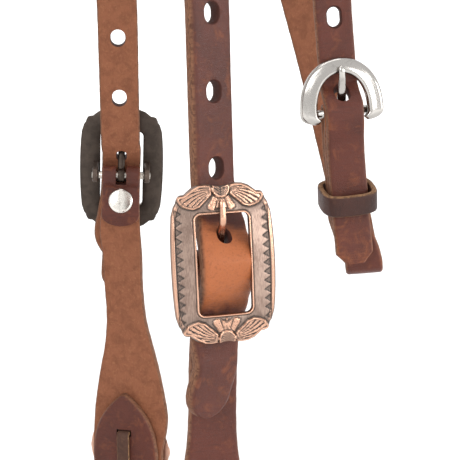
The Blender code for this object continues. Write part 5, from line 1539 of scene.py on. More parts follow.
@dataclass
class CartBuckle:
    """The engraved frame with its bead, rope of triangles, leaf wings, fans and buttons.

    The outlines are one quarter's points, as shares of half the width and of half the height.
    """

    side: str
    half_w: float = FRAME_W / 2 / MM
    half_h: float = FRAME_H / 2 / MM
    open_w: float = OPEN_W / 2 / MM
    open_h: float = OPEN_H / 2 / MM
    open_r: float = 1.9
    thick: float = FRAME_T / MM
    front: float = FRAME_FRONT / MM
    sag: float = FRAME_SAG / MM
    camber: float = 1.2          # how far the rails' edges lie behind the middle
    button_v: float = BUTTON_V / MM
    button_r: float = BUTTON_R / MM
    outline: tuple[tuple[float, float], ...] = (
        (1.0, 0.0), (0.997, 0.17), (0.99, 0.33), (0.975, 0.49), (0.955, 0.63), (0.90, 0.745),
        (0.86, 0.785), (0.84, 0.83), (0.80, 0.873), (0.745, 0.885), (0.69, 0.885), (0.64, 0.915),
        (0.545, 0.963), (0.43, 0.992), (0.30, 1.0), (0.19, 0.99), (0.09, 0.972), (0.0, 0.965))
    wing: tuple[tuple[float, float], ...] = (
        (0.175, 0.985), (0.285, 0.997), (0.415, 0.99), (0.55, 0.945), (0.645, 0.90), (0.70, 0.875),
        (0.76, 0.872), (0.825, 0.865), (0.835, 0.825), (0.79, 0.775), (0.735, 0.735), (0.64, 0.71),
        (0.53, 0.695), (0.415, 0.72), (0.325, 0.775), (0.23, 0.83), (0.165, 0.875))
    fan: tuple[tuple[float, float], ...] = (
        (0.0, 0.705), (0.085, 0.70), (0.12, 0.675), (0.20, 0.675), (0.265, 0.705), (0.255, 0.745),
        (0.205, 0.79), (0.15, 0.855), (0.0, 0.86))
    row_top: float = 19.0        # the row of triangles, up and down from the middle
    row_foot: float = -20.0
    pitch: float = 3.0
    base: float = 15.75          # their bases and points, from the middle
    apex: float = 13.3
    wing_root: tuple[float, float] = (1.5, 24.6)
    fan_root: float = 25.4       # where a fan's rays meet
    step: float = 0.42           # between the mesh's spokes, along both outlines
    least_turn: float = 0.0062   # between two spokes, in radians
    cells: int = 46              # along a spoke
    back: tuple[tuple[float, float], ...] = ((1.0, 0.75), (0.88, 0.12), (0.5, 0.0), (0.12, 0.0), (0.0, 0.25))
    lug_r: float = 3.1
    lug_levels: tuple[tuple[float, float], ...] = ((9.7, 0.35), (10.0, 0.0), (11.6, 0.0), (11.9, 0.35))

    def points(self, shares: Sequence[tuple[float, float]]) -> Array:
        """Shares of half the width and height as places."""
        return np.array([(a * self.half_w, b * self.half_h) for a, b in shares])

    def contour(self, shares: Sequence[tuple[float, float]]) -> Array:
        """A closed outline from its quarter.

        Args:
            shares: The quarter's points, from the side to the top.

        Returns:
            The corners of all four quarters.
        """
        right = self.points(shares)
        left = right[::-1] * (-1, 1)
        top = np.vstack([right, left[left[:, 0] < 0]])
        under = top[::-1] * (1, -1)
        return np.vstack([top[:-1], under[:-1]])

    def reach(self, turns: Array, outline: Array) -> Array:
        """How far an outline stands from the middle.

        Args:
            turns: Directions, in radians.
            outline: Corners of the closed outline.

        Returns:
            Its distance in each direction.
        """
        far = np.zeros(len(turns))
        d = np.stack([np.cos(turns), np.sin(turns)], axis=1)
        for a, b in zip(outline, np.roll(outline, -1, axis=0)):
            e = b - a
            cross = d[:, 0] * e[1] - d[:, 1] * e[0]
            safe = np.where(np.abs(cross) < 1e-12, 1.0, cross)
            way = (a[0] * e[1] - a[1] * e[0]) / safe
            share = (a[0] * d[:, 1] - a[1] * d[:, 0]) / safe
            good = (np.abs(cross) > 1e-12) & (share >= -1e-9) & (share <= 1 + 1e-9) & (way > 0)
            far = np.where(good, np.maximum(far, way), far)
        return far

    def opening(self) -> Array:
        """Outline of the opening, seven points to a corner."""
        points = []
        for cx, cy, start in CORNERS:
            for i in range(7):
                a = math.radians(start + 15 * i)
                points.append((cx * (self.open_w - self.open_r) + self.open_r * math.cos(a),
                               cy * (self.open_h - self.open_r) + self.open_r * math.sin(a)))
        return np.array(points)

    def carve_edges(self, c: Carving) -> None:
        """The rolled rim with its scribed lines, and the bead round the opening with its groove.

        Args:
            c: The face.
        """
        rail = 1 - ease(c.v, 19.0, 20.5)
        c.height -= 0.7 * (1 - ridge(np.minimum(c.edge, 1.0), 1.0, 1.0))
        c.engrave(ridge(c.edge, 1.62, 0.22) * rail, deep=0.22, black=0.85)
        c.polish(ridge(c.edge, 0.8, 0.75) * rail * 0.75)
        c.engrave(ridge(c.edge, 0.42, 0.10) * rail, deep=0.0, black=0.5)
        bead = ridge(c.mouth, 0.34, 0.34)
        c.height += 0.36 * bead
        c.polish(bead)
        c.engrave(ridge(c.mouth, 0.86, 0.18), deep=0.16, black=0.9)

    def carve_triangles(self, c: Carving) -> None:
        """The row of cut triangles along both rails: black outlines round hatched grey.

        Args:
            c: The face.
        """
        up = c.spots[:, 1]
        phase = (up - self.row_top) / self.pitch
        local = np.abs(phase - np.floor(phase) - 0.5) * 2
        row = (up < self.row_top) & (up > self.row_foot)
        reach = (c.u - self.apex) / (self.base - self.apex)
        within = row & (reach > -0.1) & (reach < 1)
        shape = reach - local
        hatch_pitch = 0.55
        hatch = 0.5 + 0.5 * np.sin((c.u * 0.9 + up * 0.45) * 2 * math.pi / hatch_pitch)
        c.engrave(ease(shape, 0.0, 0.10) * within, deep=0.22, black=0.30 + 0.45 * hatch)
        c.engrave(ridge(shape, 0.13, 0.17) * within, deep=0.0, black=1.0)
        c.engrave(ridge(c.u, self.base, 0.16) * row, deep=0.15, black=1.0)

    def carve_wings(self, c: Carving) -> None:
        """The raised leaves: a polished border round rows of veins and short cuts.

        Args:
            c: The face.
        """
        wing = depth_in(c.quarter, self.points(self.wing))
        up = ease(wing, -0.10, 0.28)
        shadow = ridge(wing, -0.26, 0.24) * ease(c.edge, 0.05, 0.4)
        c.engrave(shadow, deep=0.12, black=0.95)
        soot = np.exp(-np.maximum(-wing, 0) / 1.5) * (1 - up) * (c.mouth > 0.9)
        c.engrave(soot, deep=0.0, black=0.42)
        border, bed = ridge(wing, 0.42, 0.34), ease(wing, 0.72, 0.92)
        c.shine *= 1 - up
        c.polish(border)
        root_u, root_v = self.wing_root
        along = np.hypot(c.u - root_u, c.v - root_v)
        turn = np.arctan2(c.v - root_v, c.u - root_u) + 0.028 * along
        rows_in_radian, tooth = 7.0, 0.62
        across = (turn + 0.92) * rows_in_radian
        furrow = 0.5 + 0.5 * np.cos(across * 2 * math.pi)
        teeth = 0.5 + 0.5 * np.sin(along * 2 * math.pi / tooth + 2.2 * across)
        vein = bed * (furrow < 0.20)
        dash = bed * (furrow < 0.70) * (teeth > 0.60)
        c.height += 0.60 * up + 0.14 * border - (0.10 * bed + 0.12 * vein + 0.05 * dash)
        c.cover(up > 0.6, 0.05 * bed + 0.92 * vein + 0.62 * dash)
        c.polish(bed * (0.85 - 0.5 * vein))
        c.engrave(ridge(wing, 0.80, 0.11), deep=0.0, black=0.75)

    def carve_fans(self, c: Carving) -> None:
        """The fan of three lobes under the button, with a small shield at its foot.

        Args:
            c: The face.
        """
        fan = depth_in(c.quarter, self.points(self.fan))
        fan = np.where(c.u < 0.4, np.maximum(fan, 0.4), fan) * ((c.v < 22.9) & (c.v > 17.9))
        lobe = np.abs(np.arctan2(c.u, self.fan_root - c.v))
        split = 1 - ease(np.abs(lobe - 0.30), 0.020, 0.060)
        risen = ease(fan, 0.0, 0.26)
        rays = 0.5 + 0.5 * np.cos(lobe * 52)
        veins = risen * (rays < 0.14) * (c.v > 19.3)
        c.height = c.height * (1 - risen) + 0.5 * risen - 0.2 * split * risen - 0.08 * veins
        c.cover(risen > 0.5, 0.04 + 0.9 * split + 0.55 * veins)
        foot = (c.v > 17.4) & (c.v < 22.6) & (c.u < 5.2) & (risen < 0.4)
        c.engrave(ridge(fan, -0.2, 0.2) * foot, deep=0.0, black=0.9)
        c.shine = np.where(risen > 0.5, 0.9, c.shine)
        shield = (c.u / 0.85) ** 2 + ((c.v - 19.0) / 0.55) ** 2
        c.cut = np.where(shield < 1, 0.75, c.cut)

    def carve_buttons(self, c: Carving) -> None:
        """The domed button at each end: a basket weave in a polished ring, in a black moat.

        Args:
            c: The face.
        """
        far = np.hypot(c.u, c.v - self.button_v)
        on = ease(self.button_r - far, 0.0, 0.25)
        knit = np.sin(c.spots[:, 0] * 2 * math.pi / 0.84) * np.sin(c.v * 2 * math.pi / 0.78)
        dome = ridge(far, 0.0, self.button_r * 1.25)
        collar = ridge(far, self.button_r - 0.34, 0.32)
        woven = ease(self.button_r - 0.66 - far, 0.0, 0.1)
        c.height = c.height * (1 - on) + on * (0.35 + 0.62 * dome + 0.12 * collar + 0.08 * woven * knit)
        c.cover(on > 0.5, woven * np.where(knit > 0.08, 0.12, 0.92))
        c.shine = np.where(on > 0.5, np.maximum(collar, 0.4 + 0.4 * (knit > 0.1)), c.shine)
        c.engrave(ridge(far, self.button_r + 0.22, 0.24) * (c.v < 26.2), deep=0.0, black=0.95)

    def spokes(self, *loops: Array) -> Array:
        """Directions of the mesh's spokes.

        Args:
            loops: Corners of the outlines along which they stand evenly.

        Returns:
            Growing directions from the middle, in radians.
        """
        samples = []
        for loop in loops:
            closed = np.vstack([loop, loop[:1]])
            run = lengths(closed)
            at = np.arange(0, run[-1], self.step)
            samples.append(np.arctan2(*(np.interp(at, run, closed[:, k]) for k in (1, 0))))
        turns = np.sort(np.concatenate(samples) % (2 * math.pi))
        keep = [0]
        for i in range(1, len(turns)):
            if turns[i] - turns[keep[-1]] > self.least_turn:
                keep.append(i)
        return turns[keep]

    def build(self, material: Material) -> Object:
        """The frame with its two lugs.

        Args:
            material: Its copper.

        Returns:
            The finished object.
        """
        outline, mouth = self.contour(self.outline), self.opening()
        turns = self.spokes(outline, mouth)
        far = self.reach(turns, outline)
        near = np.minimum(self.reach(turns, mouth), far - 0.6)
        rays = np.stack([np.cos(turns), np.sin(turns)], axis=1)

        def grid(shares: Array) -> Array:
            """Places on every spoke at shares of its length, one to a row."""
            reach = near[:, None] + (far - near)[:, None] * shares
            return (reach[:, :, None] * rays[:, None]).reshape(-1, 2)

        def level(spots: Array) -> Array:
            """The plain face's height, arched from end to end."""
            return self.front - self.sag * (spots[:, 1] / self.half_h) ** 2

        spots, shares, lifts = grid(np.linspace(0, 1, self.cells + 1)), *np.array(self.back).T
        corner = np.abs(spots) - (self.open_w - self.open_r, self.open_h - self.open_r)
        gap = np.linalg.norm(np.maximum(corner, 0), axis=1) + np.minimum(corner.max(1), 0) - self.open_r
        carving = Carving(spots, np.maximum(depth_in(spots, outline), 0), np.maximum(gap, 0))
        for carve in (self.carve_edges, self.carve_triangles, self.carve_wings, self.carve_fans,
                      self.carve_buttons):
            carve(carving)
        face = level(spots) - self.camber * (spots[:, 0] / self.half_w) ** 2 + carving.height
        behind = grid(shares)
        rear = level(behind) - self.thick + np.tile(lifts, len(turns))
        rings = np.hstack([np.column_stack([spots, face]).reshape(len(turns), -1, 3),
                           np.column_stack([behind, rear]).reshape(len(turns), -1, 3)])
        lugs = self.lugs()
        piece = from_shell(self.side + "_cart_buckle", join_shells(loft(rings, closed=True), *lugs),
                           place_of(self.side + "_buckle"), material, 50)
        values = {}
        # The back and the lugs are darker: unpolished metal, with painted shade
        for kind, front, on_back, on_lug in (("cut", carving.cut, 0.25, 0.3),
                                             ("shine", carving.shine, 0.0, 0.1),
                                             ("back", np.zeros(len(spots)), 1.0, 0.8)):
            both = np.hstack([np.clip(front, 0, 1).reshape(len(turns), -1),
                              np.full((len(turns), len(shares)), on_back)])
            values[kind] = np.concatenate([both.ravel(), *(np.full(len(lug[0]), on_lug) for lug in lugs)])
        store(piece.data, values)
        return piece

    def lugs(self) -> list[Shell]:
        """The two ears that hold the pin."""
        top = self.front - 1.2
        outline = [(self.lug_r, top), (-self.lug_r, top)]
        outline += [(self.lug_r * math.cos(math.radians(a)), self.lug_r * math.sin(math.radians(a)))
                    for a in range(180, 361, 15)]
        return [loft([[(hand * across, a * (1 - shrink / self.lug_r), b + (shrink if b < 0 else 0.0))
                       for a, b in outline] for across, shrink in self.lug_levels]) for hand in (1, -1)]


# Turned and cast fittings

@dataclass
class Tongue:
    """A drawn tongue: an eye rolled round its bar and a shank that tapers to a rounded tip."""

    name: str
    frame: Matrix
    points: tuple[tuple[float, float], ...]
    width: float = TONGUE_W / MM
    thick: float = TONGUE_T / MM
    eye: float = EYE_R / MM
    bar: float = PIN_R / MM
    play: float = 0.25
    tip: float = 1.3             # length of the rounding at the tip

    def eye_shell(self) -> Shell:
        """The eye rolled round the bar."""
        hole = self.bar + self.play
        middle, wall = (hole + self.eye) / 2, (self.eye - hole) / 2
        section = [(self.width / 2 * squared(math.sin(b), 0.5), middle + wall * squared(math.cos(b), 0.6))
                   for b in directions(12)]
        return loft([[(x, r * math.sin(a), r * math.cos(a)) for x, r in section] for a in directions(40)],
                    closed=True)

    def shank_shell(self) -> Shell:
        """The shank, from inside the eye's wall to its tip."""
        angle = math.atan2(self.points[0][1], self.points[0][0])
        middle = (self.bar + self.play + self.eye) / 2
        root = (middle * math.cos(angle), middle * math.sin(angle))
        second = tuple(a * 0.35 + b * 0.65 for a, b in zip(root, self.points[0]))
        knots = np.array([root, second, *self.points], float)
        run = lengths(knots)
        at = np.linspace(0, run[-1], 44)
        path = steady(run, knots, at)
        ahead = unit(np.gradient(path, axis=0))
        left = run[-1] - at
        taper = 0.62 + 0.38 * ease(left, 0.0, run[-1] * 0.8)
        cap = np.sqrt(1 - np.maximum(1 - left / self.tip, 0) ** 2)
        size = taper * np.maximum(cap, 0.08) / 2
        section = [(squared(math.cos(b), 0.75), squared(math.sin(b), 0.75)) for b in directions(18)]
        rings = [[(self.width * s * x, y - self.thick * s * n * dz, z + self.thick * s * n * dy)
                  for x, n in section] for (y, z), (dy, dz), s in zip(path, ahead, size)]
        return loft(rings)

    def build(self, material: Material) -> Object:
        """The tongue.

        Args:
            material: Its metal.

        Returns:
            The finished object, bright on top and dark behind: a painted highlight and painted shade, set by
            the way each face turns.
        """
        shell = join_shells(self.eye_shell(), self.shank_shell())
        piece = from_shell(self.name, shell, self.frame, material)
        normals = np.zeros(len(piece.data.vertices) * 3)
        piece.data.vertices.foreach_get("normal", normals)
        rise = normals.reshape(-1, 3) @ np.array(self.frame.to_3x3().col[2])
        # Painted highlight where the faces turn outward, painted shade where they turn away
        store(piece.data, {"cut": 0 * rise, "shine": ease(rise, 0.2, 0.9), "back": 1 - ease(rise, -0.4, 0.5)})
        return piece


@dataclass
class BarPin:
    """The plain pin through both lugs, its ends lightly riveted over."""

    side: str
    radius: float = PIN_R / MM
    reach: float = 12.3

    def build(self, material: Material) -> Object:
        """The pin.

        Args:
            material: Its finish.

        Returns:
            The finished object.
        """
        end = [(0.0, 0.0), (0.9, 0.02), (1.35, 0.15), (self.radius, 0.4)]
        profile = [(r, h - self.reach) for r, h in end] + [(r, self.reach - h) for r, h in reversed(end)]
        return from_shell(self.side + "_bar_pin", turned(profile, 40),
                          place_of(self.side + "_buckle") @ ALONG_X, material)


@dataclass
class TwoPartScrew:
    """A flanged barrel with a domed head, and the slotted screw that closes it."""

    name: str
    frame: Matrix
    grip: float
    head: float = HEAD_R / MM
    height: float = HEAD_T / MM
    barrel: float = BARREL_R / MM
    bore: float = 1.7
    shank: float = 1.4
    proud: float = 0.3           # of each head, over the leather it is pressed into
    slot: float = 1.25

    def build_post(self, material: Material) -> Object:
        """The barrel with its domed head.

        Args:
            material: Its finish.

        Returns:
            The finished object.
        """
        out, low = self.grip / 2 + self.proud, -self.grip / 2 + self.proud
        profile = [(0.0, low + 0.6), (self.bore, low + 0.6), (self.bore, low), (self.barrel, low),
                   (self.barrel, out), (self.head - 0.1, out), (self.head, out + 0.15)]
        for degrees in range(0, 91, 15):
            a = math.radians(degrees)
            profile.append((self.head * math.cos(a), out + 0.2 + (self.height - 0.2) * math.sin(a)))
        return from_shell(self.name + "_barrel", turned(profile), self.frame, material)

    def build_screw(self, material: Material) -> Object:
        """The screw with its slot.

        Args:
            material: Its metal.

        Returns:
            The finished object.
        """
        out = self.grip / 2 + self.proud
        profile = [(0.0, out), (self.shank, out), (self.shank, -out), (self.head - 0.1, -out),
                   (self.head, -out - 0.12), (self.head, -out - 0.5), (self.head - 0.25, -out - 0.8),
                   (self.head - 0.9, -out - self.height), (0.0, -out - self.height)]
        piece = from_shell(self.name + "_slotted", turned(profile), self.frame, material)
        cutter = Cutter()
        cutter.block(self.frame, (self.slot, 2 * self.head + 1, 1.5), (0, 0, -out - self.height))
        return carve_out(piece, cutter, 35)


@dataclass
class HorseshoeBuckle:
    """The cast horseshoe: a softly domed band, open at the foot, with a straight bar behind.

    The section's points are a share of the band from its inner edge and a share of its thickness.
    """

    half: float = 14.8
    rise: float = SHOE_RISE / MM
    foot: float = 2.2
    curl: float = 1.4            # how far the feet turn in toward the leather
    band: float = 6.0
    crown: float = SHOE_CROWN / MM
    thick: float = SHOE_T / MM
    bar_r: float = SHOE_BAR_R / MM
    bar_back: float = SHOE_BAR_BACK / MM
    feet: tuple[float, ...] = (0.15, 0.3, 0.45, 0.6, 0.73, 0.84, 0.93, 1.0)
    stub: tuple[tuple[float, float], ...] = (
        (1.5, 1.0), (-1.5, 1.0), (-1.5, -1.2), (-0.8, -2.4), (0.8, -2.4), (1.5, -1.2))

    def section(self) -> list[tuple[float, float]]:
        """The band's section, its inner edge first."""
        middle = [(s, 1.0 - 0.72 * max(s - 0.12, 0) ** 2) for s in (0.2, 0.3, 0.4, 0.5, 0.6, 0.7)]
        return [(0.05, 0.0), (0.0, 0.25), (0.015, 0.6), (0.05, 0.86), (0.11, 0.98), *middle,
                (0.8, 0.70), (0.88, 0.60), (0.945, 0.46), (0.985, 0.30), (1.0, 0.14), (0.97, 0.0)]

    def foot_edges(self, hand: int, share: float) -> tuple[Vector, Vector]:
        """Inner and outer edge of a foot at a share of its length.

        Args:
            hand: 1 for one foot, -1 for the other.
            share: Share of its length.

        Returns:
            The two places.
        """
        turn = share * math.pi / 2
        near = Vector((-hand * (self.half - self.band - self.curl * share ** 2), -self.foot * share * 0.9))
        far = Vector((-hand * (self.half - self.band * (1 - math.cos(turn))),
                      -(self.foot + self.curl * 0.9) * math.sin(turn)))
        return near, far

    def arch_edges(self, a: float) -> tuple[Vector, Vector]:
        """Inner and outer edge of the arch in a direction.

        Args:
            a: The direction, in radians.

        Returns:
            The two places.
        """
        s = max(math.sin(a), 0.0)
        near = Vector(((self.half - self.band) * math.cos(a), (self.rise - self.crown) * s ** 0.8))
        far = Vector((self.half * math.cos(a) * (1 + 0.02 * math.sin(2 * a) ** 2), self.rise * s ** 0.9))
        return near, far

    def band_shell(self) -> Shell:
        """The band, from one foot over the arch to the other; the feet thin out."""
        stops = [(*self.foot_edges(-1, s), s) for s in reversed(self.feet)]
        stops += [(*self.arch_edges(math.radians(a)), 0.0) for a in np.linspace(0, 180, 73)]
        stops += [(*self.foot_edges(1, s), s) for s in self.feet]
        rings = []
        for near, far, foot in stops:
            low = float(np.interp(foot, (0.8, 0.93, 1.0), (1.0, 0.92, 0.6)))
            rings.append([(*(near + (far - near) * share), self.thick * height * low)
                          for share, height in self.section()])
        return loft(rings)

    def build(self, material: Material) -> Object:
        """The buckle with its bar and the stubs that carry it.

        Args:
            material: Its metal.

        Returns:
            The finished object.
        """
        inner = self.half - self.band
        reach = inner + self.band / 3
        points, faces = turned([(0.0, -reach), (1.2, -reach), (self.bar_r, -reach + 0.3),
                                (self.bar_r, reach - 0.3), (1.2, reach), (0.0, reach)], 32)
        lift = Matrix.Translation((0, 0, -self.bar_back)) @ ALONG_X
        shells = [self.band_shell(), ([tuple(lift @ Vector(point)) for point in points], faces)]
        for hand in (1, -1):
            ends = sorted((hand * (inner + 0.3), hand * reach))
            shells.append(loft([[(x, y, z) for y, z in self.stub] for x in ends]))
        return from_shell("horseshoe", join_shells(*shells), place_of("throat_buckle"), material, 50)


@dataclass
class Concho:
    """A dished and fluted disc with an engraved star, two slots for the lace and a pearled rim."""

    side: str
    radius: float = CONCHO_R / MM
    rise: float = CONCHO_RISE / MM
    thick: float = CONCHO_T / MM
    flutes: int = 12
    pearls: int = 60
    count: int = 192             # mesh points round it

    def height(self, share: float, turn: float) -> float:
        """Height of the face.

        Args:
            share: Place as a share of the radius.
            turn: Direction, in radians.

        Returns:
            The height over the disc's back.
        """
        dome = float(np.interp(share, (0, 0.35, 0.62, 0.86, 1.0), (1.0, 0.9, 0.62, 0.22, 0.0)))
        wave = math.cos(self.flutes * turn)
        flute = 0.21 * math.exp(-((share - 0.80) / 0.10) ** 2) * abs(wave) ** 0.7
        rings = (0.25 * math.exp(-((share - 0.60) / 0.018) ** 2)
                 + 0.20 * math.exp(-((share - 0.33) / 0.02) ** 2))
        star = -0.22 * max(0.0, wave) ** 4 * (0.34 < share < 0.58)
        rim = -0.7 * max(0.0, (share - 0.94) / 0.06) ** 2
        return self.thick + self.rise * dome + flute + rings + star + rim

    def build(self, material: Material) -> Object:
        """The disc, from its open back over the rim to the middle.

        Args:
            material: Its metal.

        Returns:
            The finished object.
        """
        rings = [ring(0.78 * self.radius, 0.0, self.count), ring(self.radius, 0.05, self.count)]
        for share in [*np.linspace(0.06, 1.0, 46)[::-1], 0.01]:
            row = []
            for a in directions(self.count):
                r = self.radius * share * (1 + 0.125 * math.cos(self.flutes * a) * max(0.0, share - 0.8))
                row.append((r * math.cos(a), r * math.sin(a), self.height(share, a)))
            rings.append(row)
        place = place_of(self.side + "_concho")
        piece = from_shell(self.side + "_dish", loft(rings), place, material)
        cutter = Cutter()
        for hand in (1, -1):
            cutter.block(place, (SLIT_W / MM, SLIT_H / MM, 16), (0, hand * SLIT_OFF / MM, 0))
        return carve_out(piece, cutter, 40)

    def pearl_places(self) -> tuple[Array, Array]:
        """Places of the rim's pearls, in millimetres, and the way out there."""
        place, share = place_of(self.side + "_concho"), 0.93
        points = []
        for a in directions(self.pearls, 0.5):
            r = self.radius * share
            points.append(place @ Vector((r * math.cos(a), r * math.sin(a), self.height(share, a) + 0.1)))
        return np.array(points), np.array([place.to_3x3().col[2]] * self.pearls)


@dataclass
class Scatter:
    """Copies of one small shape on the points of a mesh, made with a node tree."""

    name: str

    def grow(self, points: Array, ways: Array, length: float, radius: float,
             material: Material) -> Object:
        """Sets a small rounded shape on each point.

        Args:
            points: Their places, in millimetres.
            ways: The direction in which each lies.
            length: Length of one, in millimetres.
            radius: Its radius, in millimetres.
            material: What it is made of.

        Returns:
            One object with all of them.
        """
        tree = bpy.data.node_groups.new(self.name, "GeometryNodeTree")
        face = tree.interface
        face.new_socket("Geometry", in_out="INPUT", socket_type="NodeSocketGeometry")
        sizes = {name: face.new_socket(name, in_out="INPUT", socket_type="NodeSocketFloat")
                 for name in ("Length", "Radius")}
        face.new_socket("Geometry", in_out="OUTPUT", socket_type="NodeSocketGeometry")
        entry = add(tree, "NodeGroupInput")
        ball = add(tree, "GeometryNodeMeshIcoSphere", {"Radius": 1.0, "Subdivisions": 2})
        scale = add(tree, "ShaderNodeCombineXYZ", {0: entry.outputs["Radius"], 1: entry.outputs["Radius"],
                                                   2: entry.outputs["Length"]})
        way = add(tree, "GeometryNodeInputNamedAttribute", {"Name": "way"}, data_type="FLOAT_VECTOR")
        turn = add(tree, "FunctionNodeAlignRotationToVector", {"Vector": way.outputs[0]}, axis="Z")
        smooth = add(tree, "GeometryNodeSetShadeSmooth", {"Geometry": ball.outputs["Mesh"]})
        spread = add(tree, "GeometryNodeInstanceOnPoints",
                     {"Points": entry.outputs["Geometry"], "Instance": smooth.outputs[0],
                      "Rotation": turn.outputs[0], "Scale": scale.outputs[0]})
        real = add(tree, "GeometryNodeRealizeInstances", {"Geometry": spread.outputs[0]})
        look = add(tree, "GeometryNodeSetMaterial", {"Geometry": real.outputs[0], "Material": material})
        add(tree, "NodeGroupOutput", {"Geometry": look.outputs[0]})
        seeds = bpy.data.meshes.new(self.name)
        seeds.from_pydata((np.asarray(points) * MM).tolist(), [], [])
        seeds.attributes.new("way", "FLOAT_VECTOR", "POINT").data.foreach_set(
            "vector", np.asarray(ways, np.float32).ravel())
        carrier = mesh_object(self.name, seeds, None)
        modifier = carrier.modifiers.new("copies", "NODES")
        modifier.node_group = tree
        modifier[sizes["Length"].identifier] = length / 2 * MM
        modifier[sizes["Radius"].identifier] = radius * MM
        shaped = bpy.data.meshes.new_from_object(carrier.evaluated_get(bpy.context.evaluated_depsgraph_get()))
        carrier.modifiers.clear()
        carrier.data = shaped
        bpy.data.meshes.remove(seeds)
        return carrier


# The sub-assemblies

@dataclass(frozen=True)
class Finishes:
    """The headstall's materials."""

    hide: Material
    dark: Material
    thread: Material
    copper: Material
    nickel: Material
    steel: Material
    bright: Material
    antique: Material

    @classmethod
    def make(cls) -> "Finishes":
        """Makes every material once."""
        dark = LeatherFinish(
            "dark_thong_leather", grain="#42241c", grain_dark="#2a1814", grain_worn="#6e4732",
            flesh="#4f3428", flesh_dark="#382520", flesh_pale="#6d4d38", edge="#9a7350",
            edge_dark="#5c4330", gloss=0.48, coat=0.05)
        return cls(LeatherFinish("bridle_leather").make(), dark.make(), ThreadFinish("waxed_thread").make(),
                   CopperFinish("engraved_copper").make(), *(PlatedFinish(kind).make() for kind in Plating))


@dataclass
class Crown:
    """The crown strap and the two cart buckles that it hangs from."""

    finish: Finishes
    tip: float = STRAP_W * 0.55 / MM
    used_hole: float = 0.72      # of the punched size: the leather closes round the tongue
    worn: tuple[tuple[float, float], ...] = (
        (0, .15), (38, .2), (54, .45), (75, .15), (300, .05), (500, .08), (548, .12), (554, .8), (566, 1.1),
        (577, .9), (586, .15), (620, .10))
    moulding: tuple[tuple[float, float, float, float, float], ...] = (
        (0, 0, 1.8, .3, 0), (22, 0, 1.3, .3, 0), (44, 0, .5, 0, 0), (64, 0, 0, 0, 0), (350, 0, 0, 0, 0),
        (400, 0, .9, .8, 0), (534, 0, .9, .8, 0), (544, .5, -.3, 2.0, .2), (551, .9, -.9, 2.5, .5),
        (566, .9, -1.0, 2.5, .6), (574, .8, -1.0, 2.4, .6), (580, .4, -.8, 2.2, .4), (591, 0, 1.0, 1.0, 0),
        (620, 0, 1.4, .8, 0))

    def strap(self) -> None:
        """The crown strap, with six holes on each side."""
        strap = Strap("crown_leather", crown_line(), (Tip(self.tip, False), Tip(self.tip, True)), rub=0.34,
                      seed=1.3, wear=self.worn, moulding=self.moulding)
        cutter = Cutter()
        start, high = tongue_points()[0]
        for side, way in ((SIDES["off"], 1), (SIDES["near"], -1)):
            up, out = crossing(high / start, BAR_V, 0.0, lambda at: strap_out(side, at))
            first = strap.track.near(side.world(0, up, out) / MM)
            for i in range(HOLES):
                tight = self.used_hole if i == 0 else 1.0
                strap.punch(first + way * i * HOLE_PITCH / MM, tight * HOLE_L / MM, tight * HOLE_W / MM,
                            cutter, i > 0)
        settle(strap.build(self.finish.hide, (cutter,)), "crown", "bridle_leather", "crown_strap")

    def buckle(self, side: str) -> None:
        """One cart buckle, with its pin and tongue.

        Args:
            side: Name of the side.
        """
        settle(CartBuckle(side).build(self.finish.copper), "crown", "antique_copper", side + "_buckle_frame")
        settle(BarPin(side).build(self.finish.steel), "crown", "pin_steel", side + "_buckle_pin")
        tongue = Tongue(side + "_tongue_shank", place_of(side + "_buckle"), tongue_points())
        settle(tongue.build(self.finish.copper), side + "_tongue", "antique_copper", side + "_buckle_tongue")

    def build(self) -> None:
        """The strap, then both buckles."""
        self.strap()
        for side in SIDES:
            self.buckle(side)


# How use has shaped each cheek: distance along it, outward, forward, wider, thicker
CHEEK_MOULDING = {
    "near": ((0, 0, 0, 0, 0), (50, 0, 0, 0, 0), (62, 0, 1.0, 1.2, 0), (112, 0, 1.0, 1.2, 0),
             (138, 0, 0, 0, 0)),
    "off": ((0, 0, 0, 0, 0), (44, 0, 0, 0, 0), (56, 0, -.2, 1.2, 0), (76, 0, -.2, 1.0, 0),
            (92, 0, .6, 1.0, 0), (112, 0, 1.8, 2.2, 0), (138, 0, 1.9, 2.4, 0), (156, 0, 0, 0, 0)),
}


